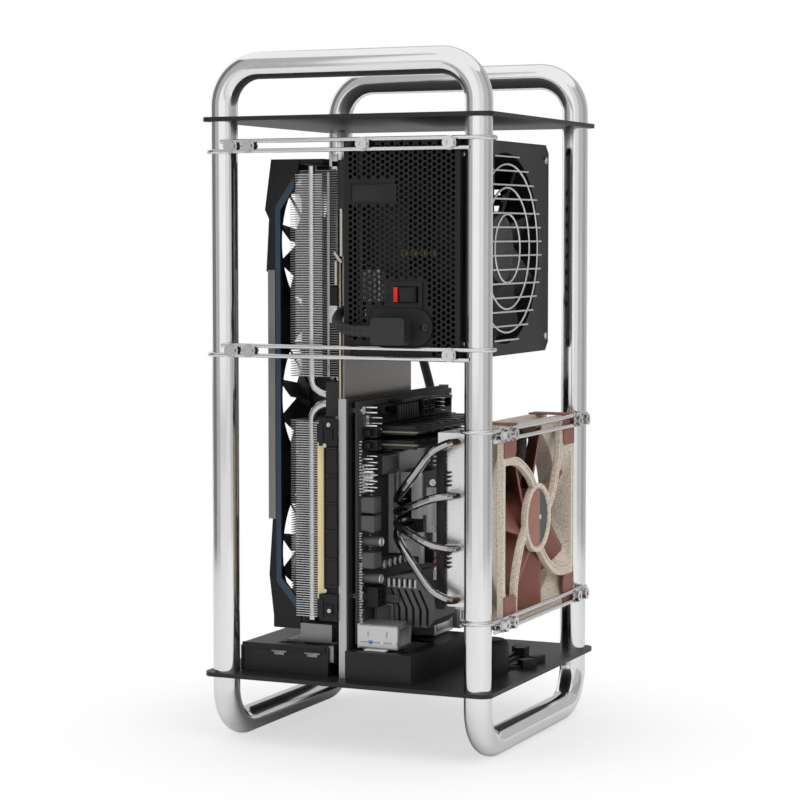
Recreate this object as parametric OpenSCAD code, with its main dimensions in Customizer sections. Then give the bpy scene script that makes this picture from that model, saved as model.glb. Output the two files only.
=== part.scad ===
// Open mini-itx computer case: one bent tube loop, two sheet plates and the computer it carries.
// Front of the case faces -Y, the airy fan side faces +X, and the tube stands on z = 0.

/* [Tube frame] */
// Outer diameter of the bent tube
tube_d = 19; // [16:0.5:22]
// Wall of the tube
tube_wall = 1.5; // [1:0.1:2.5]
// Centre line radius of every bend
bend_r = 28; // [24:1:36]
// Distance between post centres, left to right
post_span_x = 193; // [188:1:215]
// Distance between post centres, front to back
post_span_y = 190; // [185:1:215]
// Height from the top plate to the top of the bars
handle_rise = 45; // [38:1:80]

/* [Plates] */
// Thickness of the top and bottom plates
plate_t = 3; // [2:0.5:4]
// Plate edge beyond the post centres
plate_margin = 13; // [12:0.5:18]
// Corner radius of the plates
plate_corner = 8; // [4:1:12]
// Height of the underside of the bottom plate
bottom_plate_z = 47; // [44:1:49]
// Gap between the supply and the top plate
plate_gap = 13.7; // [8:0.1:30]

/* [Hook rods] */
// Rod diameter
rod_d = 3; // [2.5:0.5:4]
// Height between the two rods of a pair
rod_pitch = 6.8; // [6.5:0.1:9]
// Clamp screw shank diameter
clamp_d = 3.5; // [3:0.1:3.7]
// Clamp screw head diameter
clamp_head_d = 8.4; // [7.5:0.1:10]
// Clamp screw head height
clamp_head_h = 3; // [2:0.2:4]

/* [Power supply] */
// Width of the supply
supply_w = 86; // [80:1:86]
// Depth of the supply
supply_depth = 170; // [150:5:175]
// Height of the supply
supply_h = 150; // [148:1:152]
// Gap between the mainboard's top edge and the supply
supply_gap = 31.3; // [29:0.1:50]
// Sheet thickness of the supply housing
supply_wall = 1.2; // [0.8:0.1:1.6]
// Pitch of the hexagon pattern of round holes
grille_pitch = 4; // [3.9:0.1:5]
// Diameter of the grille holes
grille_d = 2.9; // [2:0.1:3.2]
// Metal left above and below the fan opening in the side of the supply
supply_rim = 8; // [7:0.5:16]

/* [Graphics card] */
// Length of the card, along the height of the case
card_len = 335; // [320:1:340]
// Height of the card's lower end
card_z = 78; // [76:1:82]
// Width of the card, front to back
card_w = 118; // [110:1:122]
// Pitch of the card's fins
card_fin_pitch = 1.7; // [1.6:0.1:2.6]
// Thickness of the card's fins
card_fin_t = 0.5; // [0.4:0.1:0.8]
// Diameter of the card's fans
card_fan_d = 94; // [84:1:96]

/* [Mainboard] */
// Side of the square mainboard
board_side = 170; // [170:1:170]
// Board thickness
board_t = 1.6; // [1.4:0.1:2]
// Height of the board's lower edge
board_z = 74; // [73:0.5:78]

/* [Processor cooler] */
// Pitch of the cooler's fins
cooler_pitch = 2; // [1.8:0.1:3]
// Thickness of the cooler's fins
cooler_fin_t = 0.5; // [0.4:0.1:0.8]
// Heat pipe diameter
pipe_d = 6; // [5:0.5:6]

/* [Case fan] */
// Side of the square fan frame
fan_side = 140; // [138:1:141]
// Thickness of the fan frame
fan_t = 25; // [24:1:27]
// Bore of the fan frame
fan_bore_d = 134; // [128:1:134]

/* [Hidden] */
$fn = 40;
// gap left between pieces that touch
fit = 0.05;
// gap left between a body that turns and what surrounds it
run_gap = 1;
tube_r = tube_d / 2;
tube_in_r = tube_r - tube_wall;
post_x = post_span_x / 2;
post_y = post_span_y / 2;
bar_z = tube_r;
// heights stack up from the mainboard to the top bars
board_z1 = board_z + board_side;
supply_z0 = board_z1 + supply_gap;
supply_mid_z = supply_z0 + supply_h / 2;
supply_fan_d = supply_h - 2 * supply_rim;
card_z1 = card_z + card_len;
card_top_gap = 18;
top_plate_z = max(supply_z0 + supply_h + plate_gap, card_z1 + card_top_gap);
frame_h = top_plate_z + plate_t + handle_rise;
top_bar_z = frame_h - tube_r;
plate_x = post_x + plate_margin;
plate_y = post_y + plate_margin;
floor_z = bottom_plate_z + plate_t;
rod_r = rod_d / 2;
// rods run past the outside of the posts
rod_off = tube_r + rod_r + fit;
rod_x = post_x + rod_off;
rod_y = -post_y - rod_off;
supply_front = rod_y + rod_r + fit;
supply_x1 = post_x - tube_r - 0.3;
supply_x0 = supply_x1 - supply_w;
// the rods meet the supply at its screw holes, just inside its top and bottom
supply_hole_in = 3.9;
supply_rod_span = supply_h - 2 * supply_hole_in;
supply_hi_z = supply_mid_z + supply_rod_span / 2;
supply_lo_z = supply_mid_z - supply_rod_span / 2;
fan_mid_z = 158.8;
fan_hole_in = 4.95;
fan_rod_span = fan_side - 2 * fan_hole_in;
fan_hi_z = fan_mid_z + fan_rod_span / 2;
fan_lo_z = fan_mid_z - fan_rod_span / 2;
pad_t = 1;
fan_x1 = rod_x - rod_r - fit - pad_t;
fan_x0 = fan_x1 - fan_t;
// widest points to each side, so that the whole case stands centred on the origin
reach_x = rod_x + rod_r + fit + 1 + clamp_head_h;
reach_y = -rod_y + rod_r + fit + 1 + clamp_head_h;
shift_x = (plate_x - reach_x) / 2;
shift_y = (reach_y - plate_y) / 2;

card_x0 = -72;
card_x1 = -12.8;
card_y0 = -75;
card_y1 = card_y0 + card_w;
card_mid_y = (card_y0 + card_y1) / 2;
card_plate_t = 1.5;
card_fan_z = [card_z + 55, card_z + 166, card_z + 277];
card_fin_x0 = -56;
card_fin_x1 = -18.8;
card_board_x = -17.6;
tray_x0 = -10.4;
tray_x1 = -3;
tray_y = 90;
tray_z1 = 246;
board_y0 = -board_side / 2;
board_face = board_t;
cooler_x0 = 50;
cooler_x1 = 78;
cooler_y0 = -55;
cooler_z0 = 100;
cooler_z1 = 222;
cooler_n = 51;
socket_y = 4;
socket_z = 168;
cooler_pipe_z = [106, 142, 179, 216];
mains_d = 7;
mains_z = supply_z0 + 19.4;
supply_back = supply_front + supply_depth;
// no bend of the mains lead is tighter than four of its diameters
lead_r = 4 * mains_d;
// first bend: from the plug round the supply's front corner, and into the gap beside the card
turn_c = [supply_x0 + 17.55, supply_front + 16.75];
plug_w = 25;
gap_x = -6;
// last bend: down behind the supply, and on to the coil
drop_x = -24;
drop_y = 116.5;
// the lead climbs in its first bend
lead_rise = 11;
back_z = mains_z + lead_rise + 3.4;
// winding: two turns wide and two high, then part of a turn on top of it
coil_r = 41;
coil_out_r = coil_r + mains_d / 2;
coil_c = [drop_x - lead_r, drop_y + coil_out_r];
coil_top = 2 * mains_d + 0.1;
top_lay_z = coil_top + mains_d / 2 + 0.02;
tail_at = 120;
mains_route = concat(
    [for (x = [8, 5, 2.4, 0]) [turn_c[0] + x, turn_c[1] - lead_r, mains_z]],
    [for (a = [5, 12, 22, 34, 48, 62, 76, 90]) [turn_c[0] - lead_r * sin(a), turn_c[1] - lead_r * cos(a),
        mains_z + lead_rise * (1 - cos(a))]],
    [[-9.2, supply_front + 25, mains_z + lead_rise + 2], [-8, supply_front + 34, mains_z + lead_rise + 3],
     [gap_x - 0.3, supply_front + 50, mains_z + lead_rise + 3.4]],
    [for (y = [supply_front + 80, supply_front + 112, supply_front + 142]) [gap_x, y, back_z]],
    [[-10, supply_back - 6, back_z], [-17.5, supply_back + 9, back_z], [-25, drop_y - lead_r, back_z]],
    [for (a = [15 : 15 : 90]) [-25 - 12 * sin(a), drop_y - lead_r * (1 - sin(a)),
        back_z - lead_r * (1 - cos(a))]],
    [[-37.5, drop_y, back_z - 36], [-35, drop_y, back_z - 48], [-31, drop_y, back_z - 62],
     [-27, drop_y, back_z - 78], [-24.7, drop_y, back_z - 92]],
    [for (z = [195, 165, 130, 100, 80, 66, 57, 51]) [drop_x, drop_y, z]],
    [for (a = [0 : 15 : 90]) [drop_x - lead_r * (1 - cos(a)), drop_y, top_lay_z + lead_r * (1 - sin(a))]],
    [for (a = [10 : 10 : 250]) [coil_c[0] - coil_out_r * sin(a), coil_c[1] - coil_out_r * cos(a), top_lay_z]]
);
// the tail leaves the winding along its tangent, and turns to lie behind it
tail_z = mains_d / 2 + 0.1;
tail_rise = 2.5;
tail_way = [sin(tail_at), -cos(tail_at)];
tail_from = coil_c + coil_out_r * [cos(tail_at), sin(tail_at)];
tail_c = tail_from + 30 * tail_way + lead_r * [tail_way[1], -tail_way[0]];
tail_route = concat(
    [for (d = [26.2, 28.1, 30]) concat(tail_from + d * tail_way, tail_z)],
    [for (a = [8, 18, 30]) [tail_c[0] - lead_r * sin(30 - a), tail_c[1] + lead_r * cos(30 - a),
        tail_z + tail_rise * (1 - cos(180 * a / 39)) / 2]],
    [for (d = [4.4, 6.6, 8.8]) [tail_c[0] + d, tail_c[1] + lead_r, tail_z + tail_rise]]
);

module place() {
    translate([shift_x, shift_y, 0]) children();
}

// box from its lowest to its highest corner
module span(a, b) {
    translate(a) cube(b - a);
}

module rounded_outline(w, d, r) {
    square([w - 2 * r, d], center = true);
    square([w, d - 2 * r], center = true);
    for (sx = [-1, 1], sy = [-1, 1])
        translate([sx * (w / 2 - r), sy * (d / 2 - r)]) circle(r);
}

// tube along points: one closed skin of rings that keep square to the route
function unit(v) = v / norm(v);
function heading(p, i) = unit(p[min(i + 1, len(p) - 1)] - p[max(i - 1, 0)]);
function side_of(t) = abs(t[2]) > 0.9 ? unit(cross([0, 1, 0], t)) : unit(cross([0, 0, 1], t));
function carry(p, i) = i == 0 ? side_of(heading(p, 0))
    : let (s = carry(p, i - 1), t = heading(p, i)) unit(s - (s * t) * t);

module sweep_tube(p, r, sides = 10) {
    n = len(p);
    rings = [for (i = [0 : n - 1]) let (t = heading(p, i), s = carry(p, i), u = cross(t, s))
        for (k = [0 : sides - 1]) p[i] + r * (cos(360 * k / sides) * s + sin(360 * k / sides) * u)];
    walls = [for (i = [0 : n - 2], k = [0 : sides - 1]) let (k2 = (k + 1) % sides)
        for (f = [[i * sides + k, i * sides + k2, (i + 1) * sides + k],
                  [i * sides + k2, (i + 1) * sides + k2, (i + 1) * sides + k]]) f];
    polyhedron(points = rings, faces = concat([for (f = walls) [f[2], f[1], f[0]]],
        [[for (k = [0 : sides - 1]) k]], [[for (k = [sides - 1 : -1 : 0]) (n - 1) * sides + k]]));
}

// smooth stations between the few points of a route
function spline(p, m) = let (n = len(p)) concat([for (i = [0 : n - 2], j = [0 : m - 1])
    let (t = j / m, a = p[max(i - 1, 0)], b = p[i], c = p[i + 1], d = p[min(i + 2, n - 1)])
    0.5 * (2 * b + (c - a) * t + (2 * a - 5 * b + 4 * c - d) * t * t
        + (3 * b - a - 3 * c + d) * t * t * t)], [p[n - 1]]);

// The frame: one tube bent eight times and joined into a loop
module bar(length, r) {
    cylinder(h = length, r = r);
}

module bend(r) {
    rotate_extrude(angle = 90) translate([bend_r, 0]) circle(r);
}

module loop_solid(r) {
    post_len = top_bar_z - bar_z - 2 * bend_r;
    for (sx = [-1, 1], sy = [-1, 1]) {
        translate([sx * post_x, sy * post_y, bar_z + bend_r]) bar(post_len, r);
        // upper bends lead into the bars along X
        translate([sx * (post_x - bend_r), sy * post_y, top_bar_z - bend_r])
            rotate([90, 0, 0]) rotate([0, 0, sx > 0 ? 0 : 90]) bend(r);
        // lower bends lead into the bars along Y
        translate([sx * post_x, sy * (post_y - bend_r), bar_z + bend_r])
            rotate([90, 0, 90]) rotate([0, 0, sy > 0 ? -90 : 180]) bend(r);
    }
    for (sy = [-1, 1])
        translate([-post_x + bend_r, sy * post_y, top_bar_z]) rotate([0, 90, 0])
            bar(2 * (post_x - bend_r), r);
    for (sx = [-1, 1])
        translate([sx * post_x, post_y - bend_r, bar_z]) rotate([90, 0, 0])
            bar(2 * (post_y - bend_r), r);
}

module tube_frame() {
    color("silver") place() difference() {
        loop_solid(tube_r);
        loop_solid(tube_in_r);
    }
}

module post_plate(z) {
    translate([0, 0, z]) linear_extrude(plate_t) difference() {
        rounded_outline(2 * plate_x, 2 * plate_y, plate_corner);
        for (sx = [-1, 1], sy = [-1, 1])
            translate([sx * post_x, sy * post_y]) circle(tube_r + fit);
    }
}

module top_plate() {
    color("dimgray") place() post_plate(top_plate_z);
}

module bottom_plate() {
    color("dimgray") place() post_plate(bottom_plate_z);
}

// A rod with a hook that goes half round a post; the straight end stops past the last clamp
module hook_rod(length) {
    rotate([0, 90, 0]) cylinder(h = length, r = rod_r, $fn = 24);
    translate([0, rod_off, 0]) rotate([0, 0, 90]) rotate_extrude(angle = 180)
        translate([rod_off, 0]) circle(rod_r, $fn = 24);
}

module front_pair(z) {
    // lower rod hooks the left post, upper rod hooks the right post
    translate([-post_x, rod_y, z - rod_pitch / 2]) hook_rod(post_span_x - 3);
    translate([post_x, rod_y, z + rod_pitch / 2]) mirror([1, 0, 0]) hook_rod(post_span_x - 3);
}

module side_pair(z) {
    // lower rod hooks the back post, upper rod hooks the front post
    translate([rod_x, post_y, z - rod_pitch / 2]) rotate([0, 0, -90]) mirror([0, 1, 0])
        hook_rod(post_span_y - 3);
    translate([rod_x, -post_y, z + rod_pitch / 2]) rotate([0, 0, 90]) hook_rod(post_span_y - 3);
}

module supply_rods() {
    color("silver") place() {
        front_pair(supply_hi_z);
        front_pair(supply_lo_z);
    }
}

module fan_rods() {
    color("silver") place() {
        side_pair(fan_hi_z);
        side_pair(fan_lo_z);
    }
}

// Clamps: screws that pass between the two rods of a pair
clamp_left = -post_x + 12;
clamp_left2 = clamp_left + 13.5;
supply_screw_x = [supply_x0 + 16, supply_x1 - 6];
fan_hole_y = fan_side / 2 - fan_hole_in;
clamp_side = post_y - 14;
head_face = rod_r + fit + 1;

module clamp_screw(length) {
    // head outwards along -Z, shank inwards
    difference() {
        translate([0, 0, -head_face - clamp_head_h]) cylinder(h = clamp_head_h, d = clamp_head_d);
        translate([0, 0, -head_face - clamp_head_h - 1])
            cylinder(h = 2.4, d = 3.4, $fn = 6);
    }
    translate([0, 0, -head_face]) cylinder(h = head_face + length, d = clamp_d);
}

// places of all clamps: at the free rod ends with a nut, and at the supply and the fan
module at_nut_clamps() {
    for (z = [supply_hi_z, supply_lo_z], x = [clamp_left, clamp_left2])
        translate([x, rod_y, z]) rotate([-90, 0, 0]) children();
    for (z = [fan_hi_z, fan_lo_z], s = [-1, 1])
        translate([rod_x, s * clamp_side, z]) rotate([0, -90, 0]) children();
}

module at_supply_clamps() {
    translate([supply_screw_x[0], rod_y, supply_hi_z]) rotate([-90, 0, 0]) children();
    for (z = [supply_hi_z, supply_lo_z])
        translate([supply_screw_x[1], rod_y, z]) rotate([-90, 0, 0]) children();
}

module at_fan_clamps() {
    for (z = [fan_hi_z, fan_lo_z], s = [-1, 1])
        translate([rod_x, s * fan_hole_y, z]) rotate([0, -90, 0]) children();
}

module clamp_screws() {
    color("gainsboro") place() {
        at_nut_clamps() clamp_screw(rod_r + 1 + 4);
        at_supply_clamps() clamp_screw(rod_r + 4);
        at_fan_clamps() clamp_screw(rod_r + pad_t + 6);
    }
}

module ring(outer, inner, h) {
    difference() {
        cylinder(h = h, d = outer);
        translate([0, 0, -1]) cylinder(h = h + 2, d = inner);
    }
}

module clamp_fixings() {
    washer_d = clamp_head_d + 1.4;
    color("lightgray") place() {
        at_nut_clamps() {
            translate([0, 0, -head_face]) ring(washer_d, clamp_d + 2 * fit, 1);
            translate([0, 0, rod_r + fit]) ring(washer_d, clamp_d + 2 * fit, 1);
        }
        at_supply_clamps() translate([0, 0, -head_face]) ring(washer_d, clamp_d + 2 * fit, 1);
        at_fan_clamps() translate([0, 0, -head_face]) ring(washer_d, clamp_d + 2 * fit, 1);
        at_nut_clamps() translate([0, 0, rod_r + 1 + 2 * fit]) difference() {
            cylinder(h = 3, d = 8, $fn = 6);
            translate([0, 0, -1]) cylinder(h = 5, d = clamp_d + 2 * fit);
        }
    }
}

// Power supply: folded sheet box, its perforated face to the front, its fan to the right
supply_fan_y = supply_front + 83.2;
chamfer = 6;

module supply_profile(grow) {
    // side view in Y and Z, back corners cut off
    y1 = supply_back + grow;
    z0 = supply_z0 - grow;
    z1 = supply_z0 + supply_h + grow;
    polygon([[supply_front, z0], [y1 - chamfer, z0], [y1, z0 + chamfer],
        [y1, z1 - chamfer], [y1 - chamfer, z1], [supply_front, z1]]);
}

// profile drawn in Y and Z, pulled along X
module pull_x(x0, x1) {
    translate([x0, 0, 0]) rotate([90, 0, 90]) linear_extrude(x1 - x0) children();
}

module supply_shell() {
    w = supply_wall;
    color("#26272a") place() difference() {
        pull_x(supply_x0, supply_x1) supply_profile(0);
        pull_x(supply_x0 + w, supply_x1 - w) supply_profile(-w);
        // the front is closed by the grille panel
        span([supply_x0 + w, supply_front - 1, supply_z0 + w],
            [supply_x1 - w, supply_front + 2, supply_z0 + supply_h - w]);
        translate([supply_x1 - w - 1, supply_fan_y, supply_mid_z]) rotate([0, 90, 0])
            cylinder(h = w + 2, d = supply_fan_d, $fn = 96);
        // vent slots at the back
        for (i = [0 : 7])
            span([supply_x0 + 30, supply_back - w - 1, supply_z0 + 30 + i * 12],
                [supply_x1 - 12, supply_back + 1, supply_z0 + 34 + i * 12]);
    }
}

switch_x = supply_x0 + 47;
switch_z = supply_z0 + 44;
switch_w = 24;
switch_h = 18;
inlet_x = supply_x0 + 38;
inlet_z = supply_z0 + 22;
// the socket's mouth sits low in its flange
mouth_z = inlet_z - 1.5;
flange_r = 12.8;
panel_y = supply_front + 0.1;
panel_t = 1.2;

// true where a grille hole keeps clear of the label recess, the switch and the inlet
function hole_free(x, z) =
    !(x > supply_x0 + 3.5 && x < supply_x0 + 39.5 && abs(z - supply_z0 - 113.5) < 9)
    && !(abs(x - switch_x) < switch_w / 2 + 3 && abs(z - switch_z) < switch_h / 2 + 3)
    && !(x > supply_x0 + 18 && x < supply_x0 + 66 && z < supply_z0 + 37)
    && !(x < supply_x0 + 22 && z < supply_z0 + 14)
    && norm([x - supply_screw_x[0], z - supply_hi_z]) > 5
    && norm([x - supply_screw_x[1], z - supply_hi_z]) > 5
    && norm([x - supply_screw_x[1], z - supply_lo_z]) > 5;

module supply_grille() {
    col_step = grille_pitch * sqrt(3) / 2;
    inner_w = supply_w - 2 * supply_wall - 2 * fit;
    inner_h = supply_h - 2 * supply_wall - 2 * fit;
    cols = floor((inner_w - grille_d - 2) / col_step);
    rows = floor((inner_h - grille_d - 4) / grille_pitch);
    mid_x = supply_x0 + supply_w / 2;
    color("#303236") place() difference() {
        translate([0, panel_y + panel_t, 0]) rotate([90, 0, 0]) linear_extrude(panel_t)
            difference() {
                translate([mid_x - inner_w / 2, supply_mid_z - inner_h / 2])
                    square([inner_w, inner_h]);
                for (i = [0 : cols], j = [0 : rows])
                    let (x = mid_x + (i - cols / 2) * col_step,
                        z = supply_mid_z + (j - rows / 2 + (i % 2 - 0.5) / 2) * grille_pitch)
                    if (hole_free(x, z)) translate([x, z]) circle(d = grille_d, $fn = 16);
                translate([switch_x - switch_w / 2 + 2, switch_z - switch_h / 2 + 2])
                    square([switch_w - 4, switch_h - 4]);
                translate([inlet_x - 14, mouth_z - 9.5]) square([28, 19]);
                for (x = supply_screw_x) translate([x, supply_hi_z]) circle(d = clamp_d + 2 * fit);
                translate([supply_screw_x[1], supply_lo_z]) circle(d = clamp_d + 2 * fit);
            }
        // shallow blank recess beside the holes
        span([supply_x0 + 5.5, panel_y - 1, supply_z0 + 107.5],
            [supply_x0 + 37.5, panel_y + 0.4, supply_z0 + 119.5]);
    }
}

// Wire guard over the supply's fan
module supply_fan_guard() {
    wire = 1.6;
    x_bar = supply_x1 + fit + wire / 2;
    reach = supply_fan_d / 2 + 1.5;
    color("silver") place() translate([0, supply_fan_y, supply_mid_z]) {
        for (i = [-6.5 : 6.5]) {
            z = i * reach / 6.92;
            half = sqrt(reach * reach - z * z);
            translate([x_bar, -half, z]) rotate([-90, 0, 0])
                cylinder(h = 2 * half, d = wire, $fn = 16);
        }
        for (d = supply_fan_d * [0.88, 0.634, 0.358])
            translate([x_bar + wire * 0.45, 0, 0]) rotate([0, 90, 0]) rotate_extrude($fn = 64)
                translate([d / 2, 0]) circle(d = wire, $fn = 16);
    }
}

// Fan wheel about +Z: a hub cup closed at z = 0, its shaft, and slanting blades on the cup's wall
shaft_r = 2;
cup_wall = 1.6;

module fan_wheel(outer_r, hub_r, h, blades, tilt, thick, chord) {
    difference() {
        cylinder(h = h, r = hub_r);
        translate([0, 0, 2]) cylinder(h = h, r = hub_r - cup_wall);
    }
    translate([0, 0, 1]) cylinder(h = h - 2, r = shaft_r);
    difference() {
        intersection() {
            cylinder(h = h, r = outer_r, $fn = 72);
            for (i = [0 : blades - 1]) rotate([0, 0, i * 360 / blades])
                translate([hub_r * 0.9, 0, h / 2]) rotate([tilt, 0, 0])
                    translate([0, -chord / 2, -thick / 2]) cube([outer_r, chord, thick]);
        }
        translate([0, 0, -1]) cylinder(h = h + 2, r = hub_r - cup_wall / 2);
    }
}

// The motor that fills the cup from its open side, with the bearing for the shaft
module fan_motor(hub_r, h, seat) {
    difference() {
        cylinder_from(4, h + seat, hub_r - cup_wall - run_gap);
        translate([0, 0, 3]) cylinder(h = h - 3, r = shaft_r + fit);
    }
}

module cylinder_from(z0, z1, r) {
    translate([0, 0, z0]) cylinder(h = z1 - z0, r = r);
}

supply_wheel_h = 18;
supply_hub_r = 24;
supply_wheel_x = supply_x1 - supply_wall - 2;

// wheel axis from the opening inwards, along -X
module at_supply_fan() {
    translate([supply_wheel_x, supply_fan_y, supply_mid_z]) rotate([0, -90, 0]) children();
}

module supply_fan_mount() {
    // frame ring behind the opening, with the motor carried on three arms
    seat = supply_wheel_h + 1;
    color("#202124") place() at_supply_fan() {
        difference() {
            cylinder_from(-2 + fit, seat + 3, supply_fan_d / 2 + 2.5, $fn = 96);
            cylinder_from(-3, seat + 4, supply_fan_d / 2, $fn = 96);
        }
        cylinder_from(seat, seat + 3, supply_hub_r);
        fan_motor(supply_hub_r, supply_wheel_h, 1.5);
        for (a = [30, 150, 270]) rotate([0, 0, a])
            translate([supply_hub_r - 2, -3, seat])
                cube([supply_fan_d / 2 - supply_hub_r + 3, 6, 3]);
    }
}

module supply_fan_rotor() {
    color("#2c2d30") place() at_supply_fan()
        fan_wheel(supply_fan_d / 2 - run_gap, supply_hub_r, supply_wheel_h, 9, 32, 1.6, 32);
}

module supply_board() {
    // circuit board with the parts that show through the grille
    x0 = supply_x0 + 6;
    color("#3a4a34") place() {
        span([x0, supply_front + 12, supply_z0 + 8], [x0 + 1.6, supply_back - 8, supply_z0 + supply_h - 8]);
        span([supply_x0 + supply_wall, supply_front + 30, supply_z0 + 20],
            [x0, supply_front + 36, supply_z0 + 26]);
        span([supply_x0 + supply_wall, supply_back - 40, supply_z0 + supply_h - 30],
            [x0, supply_back - 34, supply_z0 + supply_h - 24]);
        for (i = [0 : 2])
            span([x0 + 1.6, supply_front + 24 + i * 40, supply_z0 + 24],
                [x0 + 32, supply_front + 27 + i * 40, supply_z0 + supply_h - 30]);
        for (z = [50, 84])
            translate([x0 + 1.6, supply_front + 42, supply_z0 + z]) rotate([0, 90, 0])
                cylinder(h = 30, d = 26);
        span([x0 + 1.6, supply_front + 74, supply_z0 + 50],
            [x0 + 34, supply_front + 104, supply_z0 + 96]);
    }
}

module supply_switch_bezel() {
    color("#1b1c1e") place() difference() {
        union() {
            span([switch_x - switch_w / 2, panel_y - 1.3, switch_z - switch_h / 2],
                [switch_x + switch_w / 2, panel_y - fit, switch_z + switch_h / 2]);
            span([switch_x - switch_w / 2 + 2.1, panel_y - 0.1, switch_z - switch_h / 2 + 2.1],
                [switch_x + switch_w / 2 - 2.1, panel_y + 12, switch_z + switch_h / 2 - 2.1]);
        }
        span([switch_x - rocker_w / 2 - 0.6, panel_y - 3, switch_z - rocker_h / 2 - 0.4],
            [switch_x + rocker_w / 2 + 0.6, panel_y + 10.5, switch_z + rocker_h / 2 + 0.4]);
        translate([switch_x, rocker_axis_y, switch_z - rocker_h / 2 - 1.1])
            cylinder(h = rocker_h + 2.2, r = 1.05);
    }
}

rocker_w = 17;
rocker_h = 10.6;
rocker_axis_y = panel_y + 3;
rocker_tilt = 7;

module supply_rocker() {
    color("#101113") place() translate([switch_x, rocker_axis_y, switch_z])
        rotate([0, 0, -rocker_tilt]) {
            translate([0, 0, -rocker_h / 2]) linear_extrude(rocker_h)
                polygon([[-rocker_w / 2, -4.6], [0, -3.2], [rocker_w / 2, -4.6],
                    [rocker_w / 2 - 0.8, 1.2], [3, 3.4], [-3, 3.4], [-rocker_w / 2 + 0.8, 1.2]]);
            translate([0, 0, -rocker_h / 2 - 1]) cylinder(h = rocker_h + 2, r = 1);
        }
}

module supply_inlet() {
    color("#17181a") place() {
        difference() {
            union() {
                // flange with one round end, screwed over the panel
                translate([0, panel_y - fit, 0]) rotate([90, 0, 0]) linear_extrude(2) {
                    translate([inlet_x - 16, inlet_z - flange_r]) square([32, 2 * flange_r]);
                    translate([inlet_x + 16, inlet_z]) circle(r = flange_r);
                }
                span([inlet_x - 13.8, panel_y - 1, mouth_z - 9.3],
                    [inlet_x + 13.8, panel_y + 17, mouth_z + 9.3]);
            }
            span([inlet_x - 12, panel_y - 5, mouth_z - 8.2], [inlet_x + 12, panel_y + 15, mouth_z + 8.2]);
            translate([inlet_x + 21, panel_y, inlet_z]) rotate([90, 0, 0])
                cylinder(h = 6, d = 3.4, center = true);
        }
        for (i = [-1 : 1])
            span([inlet_x + i * 7 - 1, panel_y + 6, mouth_z - 2], [inlet_x + i * 7 + 1, panel_y + 16, mouth_z + 2]);
    }
}

plug_y0 = -120;

module mains_plug() {
    // right angle plug, with its cord leaving to the left
    y1 = panel_y - 2 - 2 * fit;
    body_h = 18.4;
    color("#0e0f10") place() {
        difference() {
            span([inlet_x - 11.9, y1 - 2, mouth_z - 8.1], [inlet_x + 11.9, panel_y + 14, mouth_z + 8.1]);
            for (i = [-1 : 1])
                span([inlet_x + i * 7 - 1.2, panel_y + 5, mouth_z - 2.2],
                    [inlet_x + i * 7 + 1.2, panel_y + 20, mouth_z + 2.2]);
        }
        translate([inlet_x, 0, mouth_z + 8.1 - body_h / 2]) rotate([90, 0, 0]) translate([0, 0, -y1])
            linear_extrude(y1 - plug_y0) translate([1.3, 0]) rounded_outline(plug_w, body_h, 3);
        translate([mains_route[0][0] + fit, mains_route[0][1], mains_z]) rotate([0, 90, 0])
            cylinder(h = inlet_x - 9 - mains_route[0][0], d = mains_d + 2);
    }
}

module mains_cord() {
    color("#111111") place() sweep_tube(spline(mains_route, 2), mains_d / 2);
}

module mains_coil() {
    // four turns lying two by two
    w = mains_d;
    c = 2;
    color("#111111") place() translate([coil_c[0], coil_c[1], w + 0.1]) rotate_extrude($fn = 72)
        translate([coil_r, 0]) polygon([[-w, c - w], [c - w, -w], [w - c, -w], [w, c - w],
            [w, w - c], [w - c, w], [c - w, w], [-w, w - c]]);
}

module mains_tail() {
    color("#111111") place() sweep_tube(spline(tail_route, 2), mains_d / 2);
}

module wall_plug() {
    // plain two pin plug at the far end
    end = tail_route[len(tail_route) - 1];
    color("#101010") place() translate([end[0] + fit, end[1], end[2]]) rotate([90, 0, 90]) {
        cylinder(h = 8, d1 = mains_d + 1, d2 = 12);
        translate([0, 0, 8]) linear_extrude(26) rounded_outline(26, 12, 5);
        for (s = [-1, 1]) translate([s * 9.5, 0, 34]) cylinder(h = 19, d = 4.4);
    }
}

// Graphics card: fans to the left, backplate to the right, its end plate down
module card_outline() {
    // front view in X and Z of the black cover
    z0 = card_z;
    z1 = card_z1;
    polygon([[card_x0 + 2, z1], [card_x0 + 24, z1], [card_x0 + 24, z1 - 3], [-51.5, z1 - 20],
        [-62.6, z1 - 36], [-62.6, z0 + 38], [-47.6, z0 + 21], [-47.6, z0 + 2], [-62, z0 + 2],
        [card_x0 + 4, z0 + 2], [card_x0 - 0.5, z0 + 40], [card_x0 + 2.5, z0 + 82],
        [card_x0 + 2.5, z1 - 79.5], [card_x0 - 2, z1 - 79], [card_x0 + 0.2, z1 - 42],
        [card_x0 - 3, z1 - 35.5]]);
}

// profile drawn in X and Z, pulled along Y
module pull_y(y0, y1) {
    translate([0, y1, 0]) rotate([90, 0, 0]) linear_extrude(y1 - y0) children();
}

module at_card_fans() {
    for (z = card_fan_z) translate([0, card_mid_y, z]) rotate([0, 90, 0]) children();
}

module card_shroud() {
    color("#1d1e20") place() difference() {
        union() {
            pull_y(card_y0, card_y0 + 1.8) card_outline();
            pull_y(card_y1 - 1.8, card_y1) card_outline();
            // fan face and the two end caps
            span([card_x0 + 2.5, card_y0 + 1, card_z + 2], [card_x0 + 5.5, card_y1 - 1, card_z1]);
            span([card_x0 + 2.5, card_y0 + 1, card_z1 - 3], [-30, card_y1 - 1, card_z1]);
            span([card_x0 + 4, card_y0 + 1, card_z + 2], [-48, card_y1 - 1, card_z + 5]);
        }
        at_card_fans() translate([0, 0, card_x0 - 6])
            cylinder(h = 20, d = card_fan_d + 2 * run_gap + 2, $fn = 72);
    }
}

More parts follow.
